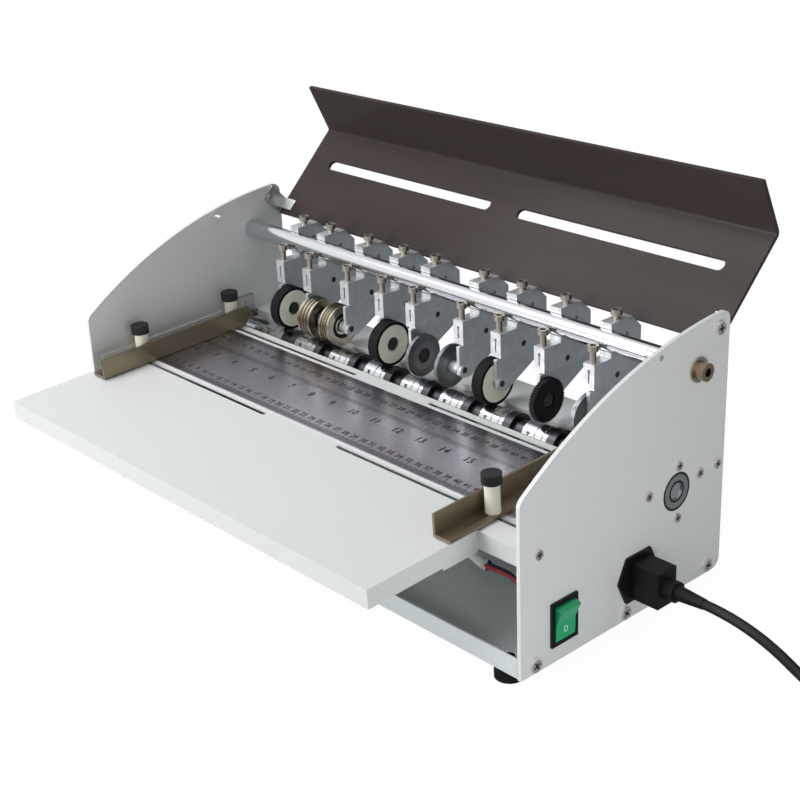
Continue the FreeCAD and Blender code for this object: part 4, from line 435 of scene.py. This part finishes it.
dress(BLACK_PLASTIC, "switch_housing", "power_inlet", "cord_connector", "mains_plug")
dress(GREEN_PLASTIC, "switch_rocker")
dress(RUBBER, "rubber_feet", "drive_belt")
dress(MOTOR_PAINT, "drive_motor")
dress(WIRES, "wiring")


# Pieces that are made here


def piece(name, mesh, material, body):
    item = bpy.data.objects.new(name, mesh)
    bpy.context.scene.collection.objects.link(item)
    item.data.materials.append(material)
    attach(item, body)
    return item


def slab(mesh, centre, long, deep, turn=SLOPE):
    """Add a flat rectangle that faces up from the feed surface."""
    corners = [(-long / 2, -deep / 2), (long / 2, -deep / 2), (long / 2, deep / 2), (-long / 2, deep / 2)]
    along = Vector((0, math.cos(turn), math.sin(turn)))
    points = [mesh.verts.new(centre + Vector((u, 0, 0)) + along * v) for u, v in corners]
    mesh.faces.new(points)


def digits(text, size):
    """A number's outline as flat triangles round its own middle, from the built-in font."""
    curve = bpy.data.curves.new("digits", "FONT")
    curve.body = text
    curve.size = size
    curve.align_x = "CENTER"
    curve.align_y = "CENTER"
    curve.resolution_u = 2
    curve.offset = 0.02 * size
    item = bpy.data.objects.new("digits", curve)
    bpy.context.scene.collection.objects.link(item)
    mesh = bpy.data.meshes.new_from_object(item.evaluated_get(bpy.context.evaluated_depsgraph_get()))
    bpy.data.objects.remove(item)
    bpy.data.curves.remove(curve)
    return mesh


def ruler_print():
    """The ruler plate's printed scales: centimetres along both long edges, inches along the middle."""
    over = RULER_THICK + 0.00006
    left_end = -GAP / 2 + 0.0045
    right_end = GAP / 2 - 0.003
    made = bmesh.new()
    turn = Matrix.Rotation(SLOPE, 4, "X")
    rows = [(0.049, 1, -0.2658, 0.0596, 0.001, 10), (0.129, -1, -0.2636, 0.1150, 0.001, 10),
            (0.103, -1, -0.2618, 0.0874, 0.0254 / 16, 16)]
    numbers = []
    for edge, way, zero, row, pitch, whole in rows:
        for mark in range(0, 560):
            x = zero + mark * pitch
            if not left_end < x < right_end - 0.001:
                continue
            half = mark % (whole // 2) == 0
            reach = 0.0085 if mark % whole == 0 else 0.0068 if half else 0.005
            slab(made, desk(x, edge + way * reach / 2, over), 0.0004 if half else 0.0003, reach)
            if mark % whole == 0:
                size = 0.0068 if whole == 10 else 0.0098
                numbers.append((str(mark // whole), x - (0.003 if whole == 10 else 0.0042), row, size))
    for text, x, row, size in numbers:
        mesh = digits(text, size)
        if left_end + size < x < right_end - size / 2:
            mesh.transform(Matrix.Translation(desk(x, row, over)) @ turn)
            made.from_mesh(mesh)
        bpy.data.meshes.remove(mesh)
    mesh = bpy.data.meshes.new("ruler_print")
    made.to_mesh(mesh)
    made.free()
    return piece("ruler_print", mesh, INK, "frame")


def upright(mesh, centre, wide, high, turn=0.0):
    """Add a flat rectangle that faces along X, turned about X."""
    for_y = Vector((0, math.cos(turn), math.sin(turn)))
    for_z = Vector((0, -math.sin(turn), math.cos(turn)))
    corners = [(-wide / 2, -high / 2), (wide / 2, -high / 2), (wide / 2, high / 2), (-wide / 2, high / 2)]
    points = [mesh.verts.new(centre + for_y * u + for_z * v) for u, v in corners]
    mesh.faces.new(points if centre.x > 0 else points[::-1])


def screw_crosses():
    """Painted shade for the cross recesses of the plates' small screws: thin dark crosses laid just over the
    heads.
    """
    made = bmesh.new()
    table = [(0.016, 0.0882), (0.125, 0.0882), (0.181, 0.0862), (0.201, 0.0862)]
    bearing = [(0.1573, 0.100), (0.1573, 0.060)]
    spots = [(deep, high, 0.0022, 0.0036) for deep, high in table + bearing]
    spots += [(deep, 0.0073, 0.0028, 0.0048) for deep in (0.0126, 0.1031, 0.194)]
    spots.append((*LID_PIVOT, 0.0028, 0.0048))
    for side in (-1, 1):
        for number, (deep, high, proud, radius) in enumerate(spots):
            centre = Vector((side * (GAP / 2 + PLATE + proud + 0.00005), deep - MID, high + FOOT))
            for turn in (0.0, math.pi / 2):
                upright(made, centre, radius * 1.25, radius * 0.3, turn + 0.35 * number)
    mesh = bpy.data.meshes.new("screw_crosses")
    made.to_mesh(mesh)
    made.free()
    return piece("screw_crosses", mesh, RECESS_SHADE, "frame")


def switch_mark():
    """The off mark on the rocker's lower half: a printed ring that lies on the rocker's face."""
    rocker = NODES["switch_rocker"]
    to_rocker = rocker.matrix_world.inverted()
    low = min((rocker.matrix_world @ vertex.co).z for vertex in rocker.data.vertices)
    high = max((rocker.matrix_world @ vertex.co).z for vertex in rocker.data.vertices)
    middle = (0.0407 - MID, low + 0.27 * (high - low))
    made = bmesh.new()
    circles = []
    for radius in (0.0014, 0.0019):
        circle = []
        for k in range(32):
            turn = 2 * math.pi * k / 32
            across, over = radius * math.cos(turn), 1.15 * radius * math.sin(turn)
            start = Vector((0.4, middle[0] + across, middle[1] + over))
            hit, place = rocker.ray_cast(to_rocker @ start, Vector((-1, 0, 0)))[:2]
            if not hit:
                made.free()
                return None
            circle.append(made.verts.new(rocker.matrix_world @ place + Vector((0.00006, 0, 0))))
        circles.append(circle)
    for k in range(32):
        after = (k + 1) % 32
        made.faces.new((circles[0][k], circles[1][k], circles[1][after], circles[0][after]))
    mesh = bpy.data.meshes.new("switch_mark")
    made.to_mesh(mesh)
    made.free()
    return piece("switch_mark", mesh, WHITE_INK, "rocker")


ruler_print()
screw_crosses()
switch_mark()


# The mains lead: the same corners as the CAD part's, in metres, and the coil's turns from one formula.
LEAD = [(0.305, 0.01886, 0.0435), (0.342, 0.01886, 0.0435), (0.395, 0.030, 0.0036), (0.433, 0.030, 0.0036)]
COIL_START = (0.440, 0.030, 0.0036)
TAIL = [(0.493, 0.082, 0.0036), (0.493, 0.099, 0.0036), (0.4926, 0.125, 0.0114), (0.4924, 0.146, 0.013)]
COIL_RADIUS = 0.045
COIL_SHRINKS = (0, 1, 2, 3, 4, 3, 2, 1, 0, -1)
CORD_PITCH = 0.0084
CORD_RADIUS = 0.0035


def coil_points():
    """Control points of the coil: in on the floor, one climb, out on top, and a last quarter turn down."""
    step = CORD_PITCH / 2
    x, y, z = COIL_START
    per_half = 8
    points = []
    for number, shrink in enumerate(COIL_SHRINKS):
        way = 1 if number % 2 == 0 else -1
        reach = COIL_RADIUS - shrink * step
        middle = y + reach * way
        climb = CORD_PITCH if shrink == max(COIL_SHRINKS) else 0
        outer = reach / math.cos(math.pi / (2 * per_half))
        for k in range(per_half):
            turn = (k + 0.5) / per_half * math.pi
            points.append((x + way * outer * math.sin(turn), middle - way * outer * math.cos(turn),
                           z + climb * (1 - math.cos(turn)) / 2))
        y += 2 * reach * way
        z += climb
    reach = TAIL[0][0] - x
    fall = TAIL[0][2] - z
    outer = reach / math.cos(math.pi / (2 * per_half))
    for k in range(per_half // 2):
        turn = (k + 0.5) / per_half * math.pi
        points.append((x + outer * math.sin(turn), y + reach - outer * math.cos(turn),
                       z + fall * (math.sin(turn) + 1 - math.cos(turn)) / 2))
    return points


def lead():
    curve = bpy.data.curves.new("mains_lead", "CURVE")
    curve.dimensions = "3D"
    spline = curve.splines.new("NURBS")
    points = LEAD + [COIL_START] + coil_points() + TAIL
    spline.points.add(len(points) - 1)
    for point, place in zip(spline.points, points):
        point.co = (*place, 1)
    spline.use_endpoint_u = True
    spline.order_u = 3
    spline.resolution_u = 10
    curve.bevel_depth = CORD_RADIUS
    curve.bevel_resolution = 6
    item = bpy.data.objects.new("mains_lead", curve)
    bpy.context.scene.collection.objects.link(item)
    item.data.materials.append(CORD_JACKET)
    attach(item, "frame")
    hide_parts("power_cord", "cord_coil")


lead()


# Stage, light and camera


def stage():
    mesh = bpy.data.meshes.new("floor")
    made = bmesh.new()
    half, below = 6, -0.0002
    corners = ((-half, -half), (half, -half), (half, half), (-half, half))
    made.faces.new([made.verts.new((x, y, below)) for x, y in corners])
    made.to_mesh(mesh)
    made.free()
    floor = bpy.data.objects.new("floor", mesh)
    bpy.context.scene.collection.objects.link(floor)
    tree = Tree("floor_white")
    tree.set(Base_Color=(0.6, 0.6, 0.6, 1), Roughness=0.9, Specular_IOR_Level=0.1)
    glow = tree.add("ShaderNodeEmission", Color=(1, 1, 1, 1), Strength=1.07)
    path = tree.add("ShaderNodeLightPath")
    mirrored = tree.add("ShaderNodeEmission", Color=(0.92, 0.96, 1, 1), Strength=0.27)
    seen = tree.add("ShaderNodeMixShader", Fac=path.outputs["Is Glossy Ray"])
    tree.feed(seen.inputs[1], tree.shader.outputs[0])
    tree.feed(seen.inputs[2], mirrored.outputs[0])
    mix = tree.add("ShaderNodeMixShader", Fac=tree.maths("MULTIPLY", path.outputs["Is Camera Ray"], 0.9))
    tree.feed(mix.inputs[1], seen.outputs[0])
    tree.feed(mix.inputs[2], glow.outputs[0])
    tree.feed(tree.tree.nodes["Material Output"].inputs["Surface"], mix.outputs[0])
    mesh.materials.append(tree.material)


def world():
    """Even light for matt faces, a bright-to-dark sweep for mirrored rays, and white behind everything."""
    made = bpy.data.worlds.new("studio")
    bpy.context.scene.world = made
    made.use_nodes = True
    tree = made.node_tree
    even = tree.nodes["Background"]
    even.inputs["Color"].default_value = (0.95, 0.97, 1, 1)
    even.inputs["Strength"].default_value = 0.36
    coords = tree.nodes.new("ShaderNodeTexCoord")
    dot = tree.nodes.new("ShaderNodeVectorMath")
    dot.operation = "DOT_PRODUCT"
    tree.links.new(coords.outputs["Generated"], dot.inputs[0])
    dot.inputs[1].default_value = Vector((-0.25, -0.65, 0.72)).normalized()
    share = tree.nodes.new("ShaderNodeMapRange")
    share.inputs["From Min"].default_value = -1
    tree.links.new(dot.outputs["Value"], share.inputs["Value"])
    sweep = tree.nodes.new("ShaderNodeValToRGB")
    tree.links.new(share.outputs[0], sweep.inputs["Fac"])
    elements = sweep.color_ramp.elements
    elements[0].position, elements[0].color = 0.1, (0.06, 0.06, 0.065, 1)
    elements[1].position, elements[1].color = 1.0, (1, 1, 1, 1)
    for position, level in ((0.45, 0.20), (0.6, 0.42), (0.75, 0.72)):
        extra = elements.new(position)
        extra.color = (level, level, level * 1.03, 1)
    mirrored = tree.nodes.new("ShaderNodeBackground")
    tree.links.new(sweep.outputs["Color"], mirrored.inputs["Color"])
    mirrored.inputs["Strength"].default_value = 1.25
    white = tree.nodes.new("ShaderNodeBackground")
    path = tree.nodes.new("ShaderNodeLightPath")
    first = tree.nodes.new("ShaderNodeMixShader")
    tree.links.new(path.outputs["Is Glossy Ray"], first.inputs[0])
    tree.links.new(even.outputs[0], first.inputs[1])
    tree.links.new(mirrored.outputs[0], first.inputs[2])
    white.inputs["Color"].default_value = (1, 1, 1, 1)
    white.inputs["Strength"].default_value = 1.0
    mix = tree.nodes.new("ShaderNodeMixShader")
    tree.links.new(path.outputs["Is Camera Ray"], mix.inputs[0])
    tree.links.new(first.outputs[0], mix.inputs[1])
    tree.links.new(white.outputs[0], mix.inputs[2])
    tree.links.new(mix.outputs[0], tree.nodes["World Output"].inputs["Surface"])


def lamp(name, place, aim, size, power):
    light = bpy.data.lights.new(name, "AREA")
    light.shape = "RECTANGLE"
    light.size, light.size_y = size
    light.energy = power
    item = bpy.data.objects.new(name, light)
    item.location = place
    item.rotation_euler = (Vector(aim) - Vector(place)).to_track_quat("-Z", "Y").to_euler()
    bpy.context.scene.collection.objects.link(item)


def camera():
    """The photograph's view, from the fit of its ruler, plates and lid."""
    yaw, pitch, roll = (math.radians(angle) for angle in (48.30, 23.57, -2.45))
    forward = Vector((-math.sin(yaw) * math.cos(pitch), math.cos(yaw) * math.cos(pitch), -math.sin(pitch)))
    level = Vector((math.cos(yaw), math.sin(yaw), 0))
    upward = level.cross(forward)
    right = level * math.cos(roll) + upward * math.sin(roll)
    top = upward * math.cos(roll) - level * math.sin(roll)
    turn = Matrix((right, top, -forward)).transposed()
    lens = bpy.data.cameras.new("camera")
    lens.sensor_width = 36
    lens.lens = 69.97
    lens.clip_start = 0.05
    item = bpy.data.objects.new("camera", lens)
    place = Vector((0.58818 + GAP / 2 + PLATE, -0.61868 - MID, 0.57451 + FOOT))
    item.matrix_world = Matrix.Translation(place) @ turn.to_4x4()
    bpy.context.scene.collection.objects.link(item)
    bpy.context.scene.camera = item


stage()
world()
lamp("key", (-0.55, -0.6, 1.6), (0, 0, 0.1), (1.2, 1.2), 20)
lamp("front", (-0.6, -1.6, 0.5), (0, 0, 0.1), (0.8, 0.8), 18)
lamp("side", (0.9, -0.2, 0.08), (0.2, -0.03, 0.1), (0.3, 0.2), 1.9)
camera()
bpy.context.scene.view_settings.view_transform = "Standard"
